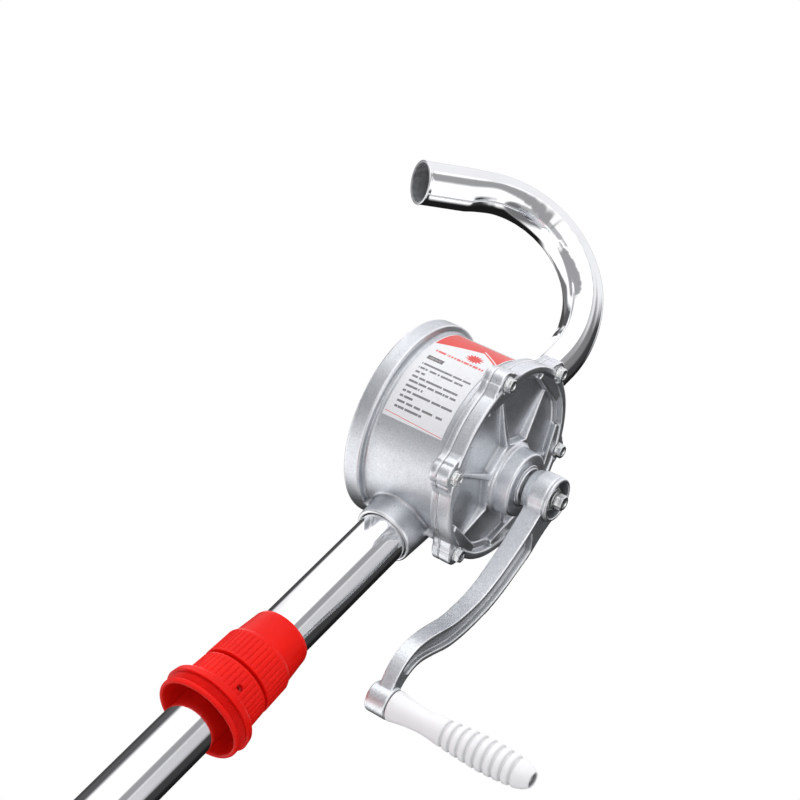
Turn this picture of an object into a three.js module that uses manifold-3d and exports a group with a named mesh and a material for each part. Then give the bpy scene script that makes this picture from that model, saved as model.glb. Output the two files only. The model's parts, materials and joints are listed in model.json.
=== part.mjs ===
// Hand-cranked rotary drum pump with bung adapter, suction tube and curved spout.
// Millimetres, +Z up. The origin is on the drum seat, the ring-shaped underside of the bung
// adapter's flange, at the ring's foremost point; the suction tube's axis is SEAT_RING_R
// behind it, at +Y. The crank side is the front and faces -Y; left is -X; the spout rises
// along +Z.
// Pieces are built in pump coordinates: x = y = 0 on the tube's axis, z = 0 on the barrel's.
import * as THREE from "three";
import { mergeVertices } from "three/addons/utils/BufferGeometryUtils.js";
import Module from "manifold-3d";

const wasm = await Module();
wasm.setup();

const { degToRad, mapLinear } = THREE.MathUtils;

// ---------------------------------------------------------------- driving dimensions
const SEAT_TO_AXIS = 249.5; // drum seat up to the barrel's axis
const SEAT_RING_R = 29.6; // middle radius of the drum seat's ring

// Axes along Y, as [x, z]
const BARREL_AXIS = [-24.3, 0];
const SHAFT_AXIS = [-11.9, 0]; // eccentric in the barrel
const GRIP_AXIS = [18.7, -172.4]; // at the crank arm's far end
const SHAFT_X = SHAFT_AXIS[0];

const BARREL_R = 61.6;
const BORE_R = 55.5;
const FLANGE_R = 66.0;
const RING_R = 66.8; // rear ring of the body
const BODY_FRONT_Y = -33.1; // body's joint face
const FLANGE_BACK_Y = -28.4;
const RING_FRONT_Y = 25.8;
const BODY_BACK_Y = 37.8;
const BORE_END_Y = 28.0;
const REAR_WALL_Y = 32.8;

const COVER_BACK_Y = -33.9;
const EAR_FACE_Y = -41.9;
const RIM_FACE_Y = -43.1;
const FLOOR_Y = -37.5;
const PLATEAU_Y = -42.6;
const PLATEAU_R = 28.0;
const BOSS_FRONT_Y = -56.0;

const BOLT_CIRCLE_R = 66.4;
const BOLT_ANGLES = [180, 120, 60, 0, -60, -120]; // degrees from +X towards +Z
const EAR_R = 7.6;

const ROTOR_R = 42.6;
const SHAFT_R = 7.0;
const SHAFT_CLEARANCE = 0.25;
const BUSH_R = 10.0;
const BUSH_BORE_R = BUSH_R + 0.3;
const SQUARE_HALF = 5; // half the width of the shaft's square end
const HUB_BACK_Y = -59.8;
const HUB_FRONT_Y = -80.0;
const HUB_R = 14.8;
const GRIP_START_Y = -77.5;

const TUBE_R = 17.0;
const TUBE_BORE_R = TUBE_R - 1.5;
const TUBE_TOP_Z = -60.0;
const TUBE_JOINTS_Z = [-375.0, -675.0];
const TUBE_END_Z = -975.0;
const SOCKET_MOUTH_Z = 78.1; // both sockets, below and above the barrel axis
const SHOULDER_Z = 58.0;
const SPOUT_R = 14.45;

const MATERIALS = {
  cast: { color: 0xb4b6b8, roughness: 0.45, metalness: 0.9 },
  castDark: { color: 0x9b9ea2, roughness: 0.5, metalness: 0.9 },
  chrome: { color: 0xe6e7ea, roughness: 0.08, metalness: 1.0 },
  red: { color: 0xd81810, roughness: 0.35, metalness: 0.0 },
  white: { color: 0xf3f3f1, roughness: 0.4, metalness: 0.0 },
  zinc: { color: 0xcfd2d2, roughness: 0.28, metalness: 1.0 },
  steel: { color: 0x8f9296, roughness: 0.35, metalness: 1.0 },
  iron: { color: 0x6d7074, roughness: 0.55, metalness: 0.9 },
  bronze: { color: 0xa5763a, roughness: 0.4, metalness: 1.0 },
  rubber: { color: 0x1b1b1c, roughness: 0.85, metalness: 0.0 },
  paper: { color: 0xf4f2f2, roughness: 0.5, metalness: 0.0 },
  carbon: { color: 0x2b2c2e, roughness: 0.6, metalness: 0.0 },
  graphite: { color: 0x3a3a3c, roughness: 0.8, metalness: 0.1 },
};

// ---------------------------------------------------------------- solids and meshes
// A closed geometry as a solid, with its faces turned outwards.
function solid(geometry) {
  geometry.deleteAttribute("normal");
  geometry.deleteAttribute("uv");
  const merged = mergeVertices(geometry, 1e-4);
  const p = merged.attributes.position.array;
  const index = merged.index.array;
  const triangles = [];
  let volume = 0; // six times the signed volume
  for (let i = 0; i < index.length; i += 3) {
    const corners = [index[i], index[i + 1], index[i + 2]];
    if (new Set(corners).size < 3) continue;
    triangles.push(...corners);
    const [a, b, c] = corners.map((corner) => corner * 3);
    volume +=
      p[a] * (p[b + 1] * p[c + 2] - p[b + 2] * p[c + 1]) +
      p[a + 1] * (p[b + 2] * p[c] - p[b] * p[c + 2]) +
      p[a + 2] * (p[b] * p[c + 1] - p[b + 1] * p[c]);
  }
  if (volume < 0) {
    for (let i = 0; i < triangles.length; i += 3) {
      [triangles[i + 1], triangles[i + 2]] = [triangles[i + 2], triangles[i + 1]];
    }
  }
  return new wasm.Manifold(
    new wasm.Mesh({
      numProp: 3,
      vertProperties: new Float32Array(p),
      triVerts: new Uint32Array(triangles),
    }),
  );
}

const union = (...solids) => solids.flat().reduce((a, b) => a.add(b));
const cut = (body, ...tools) => tools.flat().reduce((a, b) => a.subtract(b), body);

const pump = new THREE.Group();
pump.position.set(0, SEAT_RING_R, SEAT_TO_AXIS);

function add(name, shape, material) {
  const { vertProperties, triVerts } = shape.getMesh();
  const geometry = new THREE.BufferGeometry()
    .setAttribute("position", new THREE.BufferAttribute(vertProperties, 3))
    .setIndex(new THREE.BufferAttribute(triVerts, 1));
  geometry.computeVertexNormals();
  const mesh = new THREE.Mesh(geometry, new THREE.MeshStandardMaterial(MATERIALS[material]));
  mesh.name = name;
  pump.add(mesh);
}

// ---------------------------------------------------------------- shape helpers
const vectors = (points) => points.map(([x, y]) => new THREE.Vector2(x, y));
const closed = (profile) => [...profile, profile[0]];
const span = (centre, half) => [centre - half, centre + half];
// [x, z] at a radius and an angle in degrees round the barrel's axis, from +X towards +Z
const aroundBarrel = (radius, degrees) => [
  BARREL_AXIS[0] + radius * Math.cos(degToRad(degrees)),
  radius * Math.sin(degToRad(degrees)),
];

// A solid turned about the Y line through [x, z]; the profile is [radius, y] pairs.
function turnY(profile, [x, z], segments) {
  return solid(new THREE.LatheGeometry(vectors(profile), segments).translate(x, 0, z));
}
// A solid turned about the tube's axis; the profile is [radius, z] pairs.
function turnZ(profile, segments) {
  return solid(new THREE.LatheGeometry(vectors(profile), segments).rotateX(Math.PI / 2));
}
const discProfile = (r, from, to) => [[0, from], [r, from], [r, to], [0, to]];
const ringProfile = (outer, inner, from, to) =>
  closed([[inner, from], [outer, from], [outer, to], [inner, to]]);
const discY = (r, from, to, axis, segments) => turnY(discProfile(r, from, to), axis, segments);
const discZ = (r, from, to, segments) => turnZ(discProfile(r, from, to), segments);
const ringY = (outer, inner, from, to, axis, segments) =>
  turnY(ringProfile(outer, inner, from, to), axis, segments);
const ringZ = (outer, inner, from, to, segments) =>
  turnZ(ringProfile(outer, inner, from, to), segments);

const extrude = (points, depth) =>
  new THREE.ExtrudeGeometry(new THREE.Shape(vectors(points)), { depth, bevelEnabled: false });

// An outline of [x, z] points, thick from y = from to y = to.
function plateY(outline, from, to) {
  // drawn with z negated, so that turning the depth onto Y restores it
  const flipped = outline.map(([x, z]) => [x, -z]);
  return solid(extrude(flipped, to - from).rotateX(-Math.PI / 2).translate(0, from, 0));
}

// A box from its [start, end] ranges, whose ends may be in either order.
function box(...ranges) {
  const sizes = ranges.map(([start, end]) => Math.abs(end - start));
  const centre = ranges.map(([start, end]) => (start + end) / 2);
  return solid(new THREE.BoxGeometry(...sizes).translate(...centre));
}

function sweep(section, extrudePath, steps, curveSegments) {
  const options = { steps, curveSegments, bevelEnabled: false, extrudePath };
  return solid(new THREE.ExtrudeGeometry(section, options));
}

// Direction and distance in the XZ plane from the shaft's axis to a point.
function fromShaft([x, z]) {
  const dx = x - SHAFT_X;
  const length = Math.hypot(dx, z);
  return { ux: dx / length, uz: z / length, length };
}

// Hexagon along Y with its front edge broken by a small chamfer.
function hexHead({ acrossFlats, front, back, axis, turn }) {
  const r = acrossFlats / Math.sqrt(3);
  const prism = new THREE.CylinderGeometry(r, r, back - front, 6)
    .rotateY(turn)
    .translate(axis[0], (front + back) / 2, axis[1]);
  const chamfer = turnY(
    [[0, front], [r * 0.9, front], [r * 1.02, front + r * 0.1], [r * 1.02, back], [0, back]],
    axis, 24,
  );
  return solid(prism).intersect(chamfer);
}

// ---------------------------------------------------------------- ears and bolts
const BOLT_AXES = BOLT_ANGLES.map((degrees) => aroundBarrel(BOLT_CIRCLE_R, degrees));

// Outline of an ear's foot: radius from the barrel's axis, degrees from the bolt
const EAR_FOOT = [[57, -19], [65.6, -15.5], [69.5, -6.4], [69.5, 6.4], [65.6, 15.5], [57, 19]];

// Six flared ears: a round pad on each bolt with a foot running into the flange.
function ears(from, to) {
  return BOLT_ANGLES.map((degrees, i) => {
    const foot = EAR_FOOT.map(([r, offset]) => aroundBarrel(r, degrees + offset));
    return union(discY(EAR_R, from, to, BOLT_AXES[i], 16), plateY(foot, from, to));
  });
}

const boltHoles = (from, to, r = 2.9) => BOLT_AXES.map((axis) => discY(r, from, to, axis, 10));

function coverBolt(axis, turn) {
  const headBack = -43.0;
  return union(
    hexHead({ acrossFlats: 8, front: -46.0, back: headBack, axis, turn }),
    discY(4.9, headBack, EAR_FACE_Y - 0.25, axis, 12), // flange under the head
    discY(2.5, headBack, -30.0, axis, 12),
  );
}

// ---------------------------------------------------------------- barrel casting
// Tapered socket rooted in the barrel wall; side is -1 below the barrel, 1 above.
function socket(side) {
  const profile = [
    [0, 44], [21.2, 44], [20.6, 58], [19.9, SOCKET_MOUTH_Z - 1],
    [19.1, SOCKET_MOUTH_Z], [0, SOCKET_MOUTH_Z],
  ];
  return turnZ(profile.map(([r, z]) => [r, z * side]), 32);
}

// Low rib on the rear wall, from the shaft's axis out to a bolt's angle.
function rearRib(degrees) {
  const [endX, endZ] = aroundBarrel(61.5, degrees);
  const { ux, uz } = fromShaft([endX, endZ]);
  const halfWidth = 1.7;
  const nx = -uz * halfWidth;
  const nz = ux * halfWidth;
  const outline = [
    [SHAFT_X + nx, nz], [endX + nx, endZ + nz], [endX - nx, endZ - nz], [SHAFT_X - nx, -nz],
  ];
  return plateY(outline, REAR_WALL_Y - 1, REAR_WALL_Y + 2.4);
}

function pumpBody() {
  const barrel = turnY(
    [
      [0, BODY_FRONT_Y], [FLANGE_R, BODY_FRONT_Y],
      [FLANGE_R, FLANGE_BACK_Y], [BARREL_R + 1.2, FLANGE_BACK_Y],
      [BARREL_R, FLANGE_BACK_Y + 1.8], [BARREL_R, RING_FRONT_Y - 1.2],
      [BARREL_R + 1.0, RING_FRONT_Y], [RING_R, RING_FRONT_Y],
      [RING_R, BODY_BACK_Y - 0.8], [RING_R - 0.8, BODY_BACK_Y],
      [61.2, BODY_BACK_Y], [60.4, REAR_WALL_Y], [0, REAR_WALL_Y],
    ],
    BARREL_AXIS, 40,
  );
  // round bars along Y through the sockets, from the front flange to the rear ring
  const bars = [-1, 1].map((side) => discY(2.6, -29.5, 27.0, [0, side * 58.6], 12));
  const bearingBoss = turnY(
    [[0, REAR_WALL_Y - 1], [16.5, REAR_WALL_Y - 1], [15.6, 37.4], [0, 37.4]],
    SHAFT_AXIS, 32,
  );
  return cut(
    union(
      barrel, ears(BODY_FRONT_Y, FLANGE_BACK_Y), socket(-1), socket(1),
      bars, bearingBoss, BOLT_ANGLES.map(rearRib),
    ),
    discY(BORE_R, BODY_FRONT_Y - 1, BORE_END_Y, BARREL_AXIS, 40),
    discY(BUSH_BORE_R, BORE_END_Y - 1, 35.9, SHAFT_AXIS, 24), // blind bearing bore
    // stepped bore of the lower socket, then of the upper one
    discZ(TUBE_R + 0.3, -90, -SHOULDER_Z, 40),
    discZ(14.2, -59, -30, 32),
    discZ(SPOUT_R + 0.35, SHOULDER_Z, 90, 40),
    discZ(12.4, 30, 59, 32),
    boltHoles(BODY_FRONT_Y - 1, FLANGE_BACK_Y + 1),
  );
}

// ---------------------------------------------------------------- front cover
// Triangular rib running down from the plateau to the rim.
function coverRib({ ux, uz, length }) {
  const width = 3.6;
  const start = 10;
  const tip = length - 9.5;
  const side = [ // distance out along the rib, y
    [start, FLOOR_Y + 1], [tip, FLOOR_Y + 1], [tip, FLOOR_Y - 0.2],
    [PLATEAU_R - 1, PLATEAU_Y], [start, PLATEAU_Y],
  ];
  const rib = extrude(side, width).translate(0, 0, -width / 2);
  return solid(rib.rotateY(Math.atan2(-uz, ux)).translate(SHAFT_X, 0, 0));
}

function frontCover() {
  const disc = turnY(
    [
      [0, COVER_BACK_Y], [FLANGE_R, COVER_BACK_Y],
      [FLANGE_R, RIM_FACE_Y + 0.9], [FLANGE_R - 0.9, RIM_FACE_Y], [0, RIM_FACE_Y],
    ],
    BARREL_AXIS, 40,
  );
  // dished face with a raised step just inside the rim
  const stepY = FLOOR_Y - 1.2;
  const dish = turnY(
    [
      [0, RIM_FACE_Y - 1], [61.2, RIM_FACE_Y - 1], [60.0, stepY],
      [56.6, stepY], [56.0, FLOOR_Y], [0, FLOOR_Y],
    ],
    BARREL_AXIS, 40,
  );
  // hexagonal plateau with its corners on the rib lines
  const ribLines = BOLT_AXES.map(fromShaft);
  const corners = ribLines.map(({ ux, uz }) => [SHAFT_X + ux * PLATEAU_R, uz * PLATEAU_R]);
  const boss = turnY(
    [
      [0, FLOOR_Y + 1], [24.2, FLOOR_Y + 1], [23.7, -43.6], [22.0, -45.4], [22.0, -46.3],
      [21.4, BOSS_FRONT_Y + 0.6], [20.8, BOSS_FRONT_Y], [0, BOSS_FRONT_Y],
    ],
    SHAFT_AXIS, 32,
  );
  return cut(
    union(
      cut(union(disc, ears(EAR_FACE_Y, COVER_BACK_Y)), dish),
      plateY(corners, PLATEAU_Y, FLOOR_Y + 1),
      ribLines.map(coverRib),
      boss,
    ),
    discY(14.1, BOSS_FRONT_Y - 1, -45.9, SHAFT_AXIS, 32), // gland bore
    discY(BUSH_BORE_R, -47, COVER_BACK_Y + 1, SHAFT_AXIS, 24),
    boltHoles(EAR_FACE_Y - 2, COVER_BACK_Y + 1),
    boltHoles(RIM_FACE_Y - 2, EAR_FACE_Y, 6.2), // room for the bolt heads
  );
}

// ---------------------------------------------------------------- rating label
// Thin curved sheet on the barrel's left side.
function label() {
  const [startAngle, endAngle] = [142, 225];
  const steps = 18;
  const arc = (r) =>
    Array.from({ length: steps + 1 }, (_, k) =>
      aroundBarrel(r, startAngle + ((endAngle - startAngle) * k) / steps));
  return plateY([...arc(BARREL_R + 0.35), ...arc(BARREL_R + 0.12).reverse()], -23.0, 22.0);
}

// ---------------------------------------------------------------- bushes and gland nut
const bush = (from, to) => ringY(BUSH_R, SHAFT_R + SHAFT_CLEARANCE, from, to, SHAFT_AXIS, 24);

function glandNut() {
  const bore = SHAFT_R + 0.5;
  const profile = [
    [bore, -57.9], [10.9, -57.9], [13.2, -56.9], [13.8, -55.2], [13.8, -49.6], [bore, -49.6],
  ];
  return turnY(closed(profile), SHAFT_AXIS, 32);
}

// ---------------------------------------------------------------- shaft, rotor, vanes
const PIN_Y = -3;
const SPRING_Y = -16;
const SLOT_BOTTOM_Z = 20; // distance of the vane slots from the shaft's axis

// Round bar along X through the shaft's axis; centreX is its middle.
function crossBar(r, length, centreX) {
  const bar = new THREE.CylinderGeometry(r, r, length, 12);
  return solid(bar.rotateZ(Math.PI / 2).translate(centreX, PIN_Y, 0));
}

function driveShaft() {
  const round = turnY(
    [
      [0, HUB_BACK_Y + 0.2], [SHAFT_R - 0.5, HUB_BACK_Y + 0.2], [SHAFT_R, HUB_BACK_Y + 0.8],
      [SHAFT_R, 34.6], [SHAFT_R - 0.8, 35.4], [0, 35.4],
    ],
    SHAFT_AXIS, 24,
  );
  const square = box(
    span(SHAFT_X, SQUARE_HALF), [-76.6, HUB_BACK_Y + 1], span(0, SQUARE_HALF),
  );
  return cut(
    union(round, square),
    discY(3.35, -78, -62, SHAFT_AXIS, 12), // crank bolt's hole
    crossBar(2.8, 40, SHAFT_X),
  );
}

function rotor() {
  const slots = [-1, 1].map((side) => [
    box(span(SHAFT_X, 3.3), [-40, 40], [side * SLOT_BOTTOM_Z, side * 50]),
    // spring pocket below the slot
    solid(
      new THREE.CylinderGeometry(3.2, 3.2, 12, 12)
        .rotateX(Math.PI / 2)
        .translate(SHAFT_X, SPRING_Y, side * 16),
    ),
  ]);
  return cut(
    discY(ROTOR_R, -33.5, BORE_END_Y - 0.4, SHAFT_AXIS, 56),
    discY(SHAFT_R + SHAFT_CLEARANCE, -40, 40, SHAFT_AXIS, 24),
    slots.flat(),
    crossBar(2.8, 62, SHAFT_X + 13), // pin hole, open at +X and blind at -X
  );
}

// In the vane pieces, side is -1 for the lower vane and 1 for the upper.
function vane(side) {
  const bottom = SLOT_BOTTOM_Z + 0.3;
  const height = 22;
  return box(
    span(SHAFT_X, 3), [-33.3, BORE_END_Y - 0.6], [side * bottom, side * (bottom + height)],
  );
}

class Coil extends THREE.Curve {
  constructor(side) {
    super();
    this.side = side;
  }
  getPoint(t, target = new THREE.Vector3()) {
    const turns = 4;
    const r = 2.2;
    const angle = t * Math.PI * 2 * turns;
    return target.set(
      SHAFT_X + r * Math.cos(angle),
      SPRING_Y + r * Math.sin(angle),
      this.side * (11.2 + t * 8.2),
    );
  }
}

// Compression spring behind the vane.
function vaneSpring(side) {
  const wire = new THREE.Shape();
  wire.absarc(0, 0, 0.5, 0, Math.PI * 2, false);
  return sweep(wire, new Coil(side), 28, 2);
}

// ---------------------------------------------------------------- crank
// Edges of the arm, [x, z]: the left one runs from hub to grip, the right one back again
const ARM_LEFT = [
  [-6.5, 7], [-13.0, -8], [-8.2, -18], [-1.2, -33], [5.0, -50],
  [9.3, -66], [11.0, -81], [9.8, -96], [7.2, -108], [2.2, -121],
  [-1.6, -132], [-3.6, -142], [-2.9, -152], [0.8, -161], [8.5, -171],
];
const ARM_RIGHT = [
  [20.5, -178], [17.5, -166], [12.9, -158], [10.5, -150], [11.0, -141.5], [14.6, -132],
  [19.2, -122], [23.4, -111], [26.2, -97], [27.3, -82], [26.8, -68], [24.6, -54.5],
  [21.2, -42], [16.6, -27.5], [9.5, -12], [4, 7],
];
// The arm thins towards the grip, [z, y]
const ARM_SIDE = [
  [10, -76.6], [10, -63.6], [-30, -63.6], [-185, -65.9], [-185, -74.9], [-30, -76.6],
];

const smooth = (points) =>
  new THREE.SplineCurve(vectors(points)).getSpacedPoints(15).map(({ x, y }) => [x, y]);

// Points first to last of an edge, moved into the arm by a distance.
function inset(edge, distance, first, last) {
  return edge.slice(first, last + 1).map(([x, z], i) => {
    const [x0, z0] = edge[first + i - 1];
    const [x1, z1] = edge[first + i + 1];
    const length = Math.hypot(x1 - x0, z1 - z0);
    return [x - ((z1 - z0) / length) * distance, z + ((x1 - x0) / length) * distance];
  });
}

function crankArm() {
  const left = smooth(ARM_LEFT);
  const right = smooth(ARM_RIGHT);
  const taper = extrude(ARM_SIDE, 120).translate(0, 0, -60).rotateY(-Math.PI / 2);
  const blank = plateY([...left, ...right], -80, -60).intersect(solid(taper));
  // the same channel is sunk in the front and the back face
  const channel = [...inset(left, 3.2, 3, 13), ...inset(right, 3.2, 3, 12)];
  const arm = cut(blank, plateY(channel, -80, -72.6), plateY(channel, -67.6, -60));
  const hub = turnY(
    [
      [0, HUB_BACK_Y], [12.2, HUB_BACK_Y], [13.4, HUB_BACK_Y - 1.2], [13.9, HUB_BACK_Y - 3.8],
      [HUB_R, HUB_BACK_Y - 5.9], [HUB_R, HUB_FRONT_Y + 1.0],
      [HUB_R - 0.9, HUB_FRONT_Y], [0, HUB_FRONT_Y],
    ],
    SHAFT_AXIS, 32,
  );
  const gripBoss = turnY(
    [[0, -62.2], [9.0, -62.2], [9.8, -63.0], [10.0, -76.6], [9.6, -77.0], [0, -77.0]],
    GRIP_AXIS, 32,
  );
  const hubRecess = turnY(
    [[0, HUB_FRONT_Y - 1], [12.4, HUB_FRONT_Y - 1], [12.0, -77.2], [0, -77.2]],
    SHAFT_AXIS, 32,
  );
  const squareHalf = SQUARE_HALF + 0.3;
  return cut(
    union(arm, hub, gripBoss),
    hubRecess,
    box(span(SHAFT_X, squareHalf), [-79, HUB_BACK_Y + 2], span(0, squareHalf)),
    discY(3.3, -80, -60, GRIP_AXIS, 16),
  );
}

function crankBolt() {
  const head = { acrossFlats: 9.2, front: -84.7, back: -79.2, axis: SHAFT_AXIS, turn: 0.3 };
  return union(hexHead(head), discY(3.0, -79.5, -66, SHAFT_AXIS, 12));
}

// ---------------------------------------------------------------- grip
const GRIP_LENGTH = 98.6;
// Distance from the grip's start, radius
const GRIP_RADII = [
  [0, 9.4], [0.8, 10.0], [12, 8.1], [24, 7.5], [36, 8.7], [52, 10.1],
  [67, 10.7], [82, 10.0], [90.5, 8.9], [95, 7.5], [97.6, 5.9], [GRIP_LENGTH, 4.6],
];

// Profile point at a distance along the grip, sunk by a depth.
function gripPoint(along, depth = 0) {
  const next = GRIP_RADII.findIndex(([end], i) => i > 0 && along <= end);
  const [start, startR] = GRIP_RADII[next - 1];
  const [end, endR] = GRIP_RADII[next];
  return [mapLinear(along, start, end, startR, endR) - depth, GRIP_START_Y - along];
}

// Waisted neck, nine finger grooves, domed end with the screw's pocket.
function grip() {
  const profile = [0, 0.8, 6, 12, 18, 24, 30].map((along) => gripPoint(along));
  for (let i = 0; i < 9; i++) {
    const shift = 6 * i;
    profile.push(gripPoint(37.2 + shift), gripPoint(39 + shift, 1.1), gripPoint(40.8 + shift));
  }
  profile.push(...[91.5, 95, 97.6, GRIP_LENGTH].map((along) => gripPoint(along)));
  const pocketFloorY = GRIP_START_Y - 93.5;
  profile.push(
    [4.4, GRIP_START_Y - GRIP_LENGTH], [4.4, pocketFloorY],
    [3.4, pocketFloorY], [3.4, GRIP_START_Y],
  );
  return turnY(closed(profile), GRIP_AXIS, 16);
}

// Slotted head in the pocket, plain shank, end in the crank's boss.
function gripScrew() {
  const headFront = GRIP_START_Y - 97.0;
  const headBack = GRIP_START_Y - 93.9;
  const screw = turnY(
    [
      [0, headFront], [3.6, headFront], [4.0, headFront + 0.6],
      [4.0, headBack], [3.0, headBack], [3.0, -62.6], [0, -62.6],
    ],
    GRIP_AXIS, 20,
  );
  const [x, z] = GRIP_AXIS;
  return cut(screw, box(span(x, 0.7), [headFront - 1, headFront + 1.4], span(z, 6)));
}

// ---------------------------------------------------------------- suction tube
const TUBE_ENDS_Z = [TUBE_TOP_Z, ...TUBE_JOINTS_Z, TUBE_END_Z];
const HALF_JOINT_GAP = 0.15;

// One of the three lengths, counted from the top.
function suctionTube(i) {
  const top = TUBE_ENDS_Z[i] - (i > 0 ? HALF_JOINT_GAP : 0);
  const bottom = TUBE_ENDS_Z[i + 1] + (i < 2 ? HALF_JOINT_GAP : 0);
  return ringZ(TUBE_R, TUBE_BORE_R, bottom, top, 32);
}

const tubeNipple = (z) => ringZ(TUBE_BORE_R - 0.25, 13.0, ...span(z, 22), 24);

// ---------------------------------------------------------------- bung adapter
const SLIDE_R = TUBE_R + 0.45; // bore that slides on the tube

// Neck above, tapering barrel, stop flange on the drum seat, bung plug, open bell below.
function adapterBody() {
  const profile = [
    [SLIDE_R, -209.0], [20.9, -209.0], [20.9, -224.9], [24.1, -224.9], [24.5, -226.0],
    [25.6, -243.6], [29.5, -244.0], [30.2, -245.0], [30.8, -SEAT_TO_AXIS],
    [28.2, -SEAT_TO_AXIS], [28.2, -254.8], [29.1, -255.4], [29.2, -257.6], [28.4, -258.6],
    [26.6, -258.6], [26.0, -257.4], [24.6, -240.0], [SLIDE_R, -233.0],
  ];
  const vent = new THREE.CylinderGeometry(2.2, 2.2, 16, 12)
    .rotateZ(Math.PI / 2)
    .translate(24, 0, -236.9)
    .rotateZ(degToRad(-139.8));
  return cut(turnZ(closed(profile), 32), solid(vent));
}

// Tapered collar above, wider skirt below, over the body's neck.
function clampNut() {
  const profile = [
    [SLIDE_R, -179.8], [18.1, -178.7], [18.9, -179.0], [19.8, -181.2], [21.9, -200.4],
    [23.4, -202.2], [23.9, -204.2], [24.4, -223.0], [21.3, -223.0], [21.3, -202.5],
    [SLIDE_R, -202.5],
  ];
  return turnZ(closed(profile), 32);
}

// ---------------------------------------------------------------- spout
const SPOUT_WALL = 1.4;
const SPOUT_YAW = degToRad(123.7); // from +X towards +Y
const SPOUT_START_Z = SHOULDER_Z + 2.2;
const SPOUT_RISE = 120.6 - SPOUT_START_Z; // straight length in and above the socket
const SPOUT_ARCS = [
  { radius: 94.5, angle: 0.56 },
  { radius: 65.5, angle: 1.814 },
];
const SPOUT_END = 52.3; // straight length after the arcs
const SPOUT_LENGTH =
  SPOUT_ARCS.reduce((sum, { radius, angle }) => sum + radius * angle, SPOUT_RISE) + SPOUT_END;

class SpoutPath extends THREE.Curve {
  getPoint(t, target = new THREE.Vector3()) {
    let left = t * SPOUT_LENGTH;
    const rise = Math.min(left, SPOUT_RISE);
    left -= rise;
    let reach = 0;
    let z = SPOUT_START_Z + rise;
    let lean = 0; // angle from +Z
    for (const { radius, angle } of SPOUT_ARCS) {
      const bend = Math.min(left / radius, angle);
      reach += radius * (Math.cos(lean) - Math.cos(lean + bend));
      z += radius * (Math.sin(lean + bend) - Math.sin(lean));
      lean += bend;
      left -= bend * radius;
    }
    reach += Math.sin(lean) * left;
    z += Math.cos(lean) * left;
    return target.set(reach * Math.cos(SPOUT_YAW), reach * Math.sin(SPOUT_YAW), z);
  }
}

function spout() {
  const section = new THREE.Shape();
  section.absarc(0, 0, SPOUT_R, 0, Math.PI * 2, false);
  const hole = new THREE.Path();
  hole.absarc(0, 0, SPOUT_R - SPOUT_WALL, 0, Math.PI * 2, true);
  section.holes.push(hole);
  return sweep(section, new SpoutPath(), 19, 10);
}

// ---------------------------------------------------------------- assembly
add("pump_body", pumpBody(), "cast");
add("front_cover", frontCover(), "castDark");
add("cover_gasket", ringY(62.8, 55.8, -33.65, -33.35, BARREL_AXIS, 40), "graphite");
BOLT_AXES.forEach((axis, i) => {
  // each head is left at its own angle
  add("cover_bolt_" + (i + 1), coverBolt(axis, degToRad(BOLT_ANGLES[i] + 11 * i)), "zinc");
});
add("label", label(), "paper");

add("rear_bush", bush(BORE_END_Y + 0.5, 35.6), "bronze");
add("front_bush", bush(-45.6, COVER_BACK_Y - 0.3), "bronze");
add("gland_packing", ringY(13.7, SHAFT_R + 0.3, -49.3, -46.2, SHAFT_AXIS, 32), "graphite");
add("gland_nut", glandNut(), "castDark");

add("drive_shaft", driveShaft(), "steel");
add("rotor", rotor(), "iron");
add("rotor_pin", crossBar(2.5, 34, SHAFT_X), "steel");
["lower", "upper"].forEach((name, i) => {
  const side = i ? 1 : -1;
  add("vane_" + name, vane(side), "carbon");
  add("vane_spring_" + name, vaneSpring(side), "steel");
});

add("crank_arm", crankArm(), "cast");
add("crank_washer", ringY(6.6, 3.4, -78.9, -77.5, SHAFT_AXIS, 24), "zinc");
add("crank_bolt", crankBolt(), "zinc");
add("grip", grip(), "white");
add("grip_screw", gripScrew(), "zinc");

["upper", "middle", "lower"].forEach((name, i) => {
  add("suction_tube_" + name, suctionTube(i), "chrome");
});
["upper", "lower"].forEach((name, i) => {
  add("tube_nipple_" + name, tubeNipple(TUBE_JOINTS_Z[i]), "steel");
});
add("inlet_seal", ringZ(16.9, 14.6, -59.7, -58.3, 32), "rubber");

add("adapter_body", adapterBody(), "red");
add("adapter_seal", ringZ(20.8, 17.5, -208.6, -202.8, 32), "rubber");
add("adapter_clamp_nut", clampNut(), "red");

add("spout", spout(), "chrome");
add("spout_seal", ringZ(14.5, 12.7, SHOULDER_Z + 0.3, SHOULDER_Z + 1.9, 32), "rubber");

const root = new THREE.Group();
root.add(pump);
export default root;
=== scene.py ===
"""A hand-cranked rotary drum pump on its suction tube, with a bung adapter and a bent spout.

The frame is in metres, +Z up. The crank faces -Y, which is called the front; +X is on the
right seen from there. The suction tube hangs down along -Z and the spout rises along +Z.
"""

import json
import math
from functools import reduce

import bmesh
import bpy
import numpy as np
from mathutils import Matrix, Vector


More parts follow.
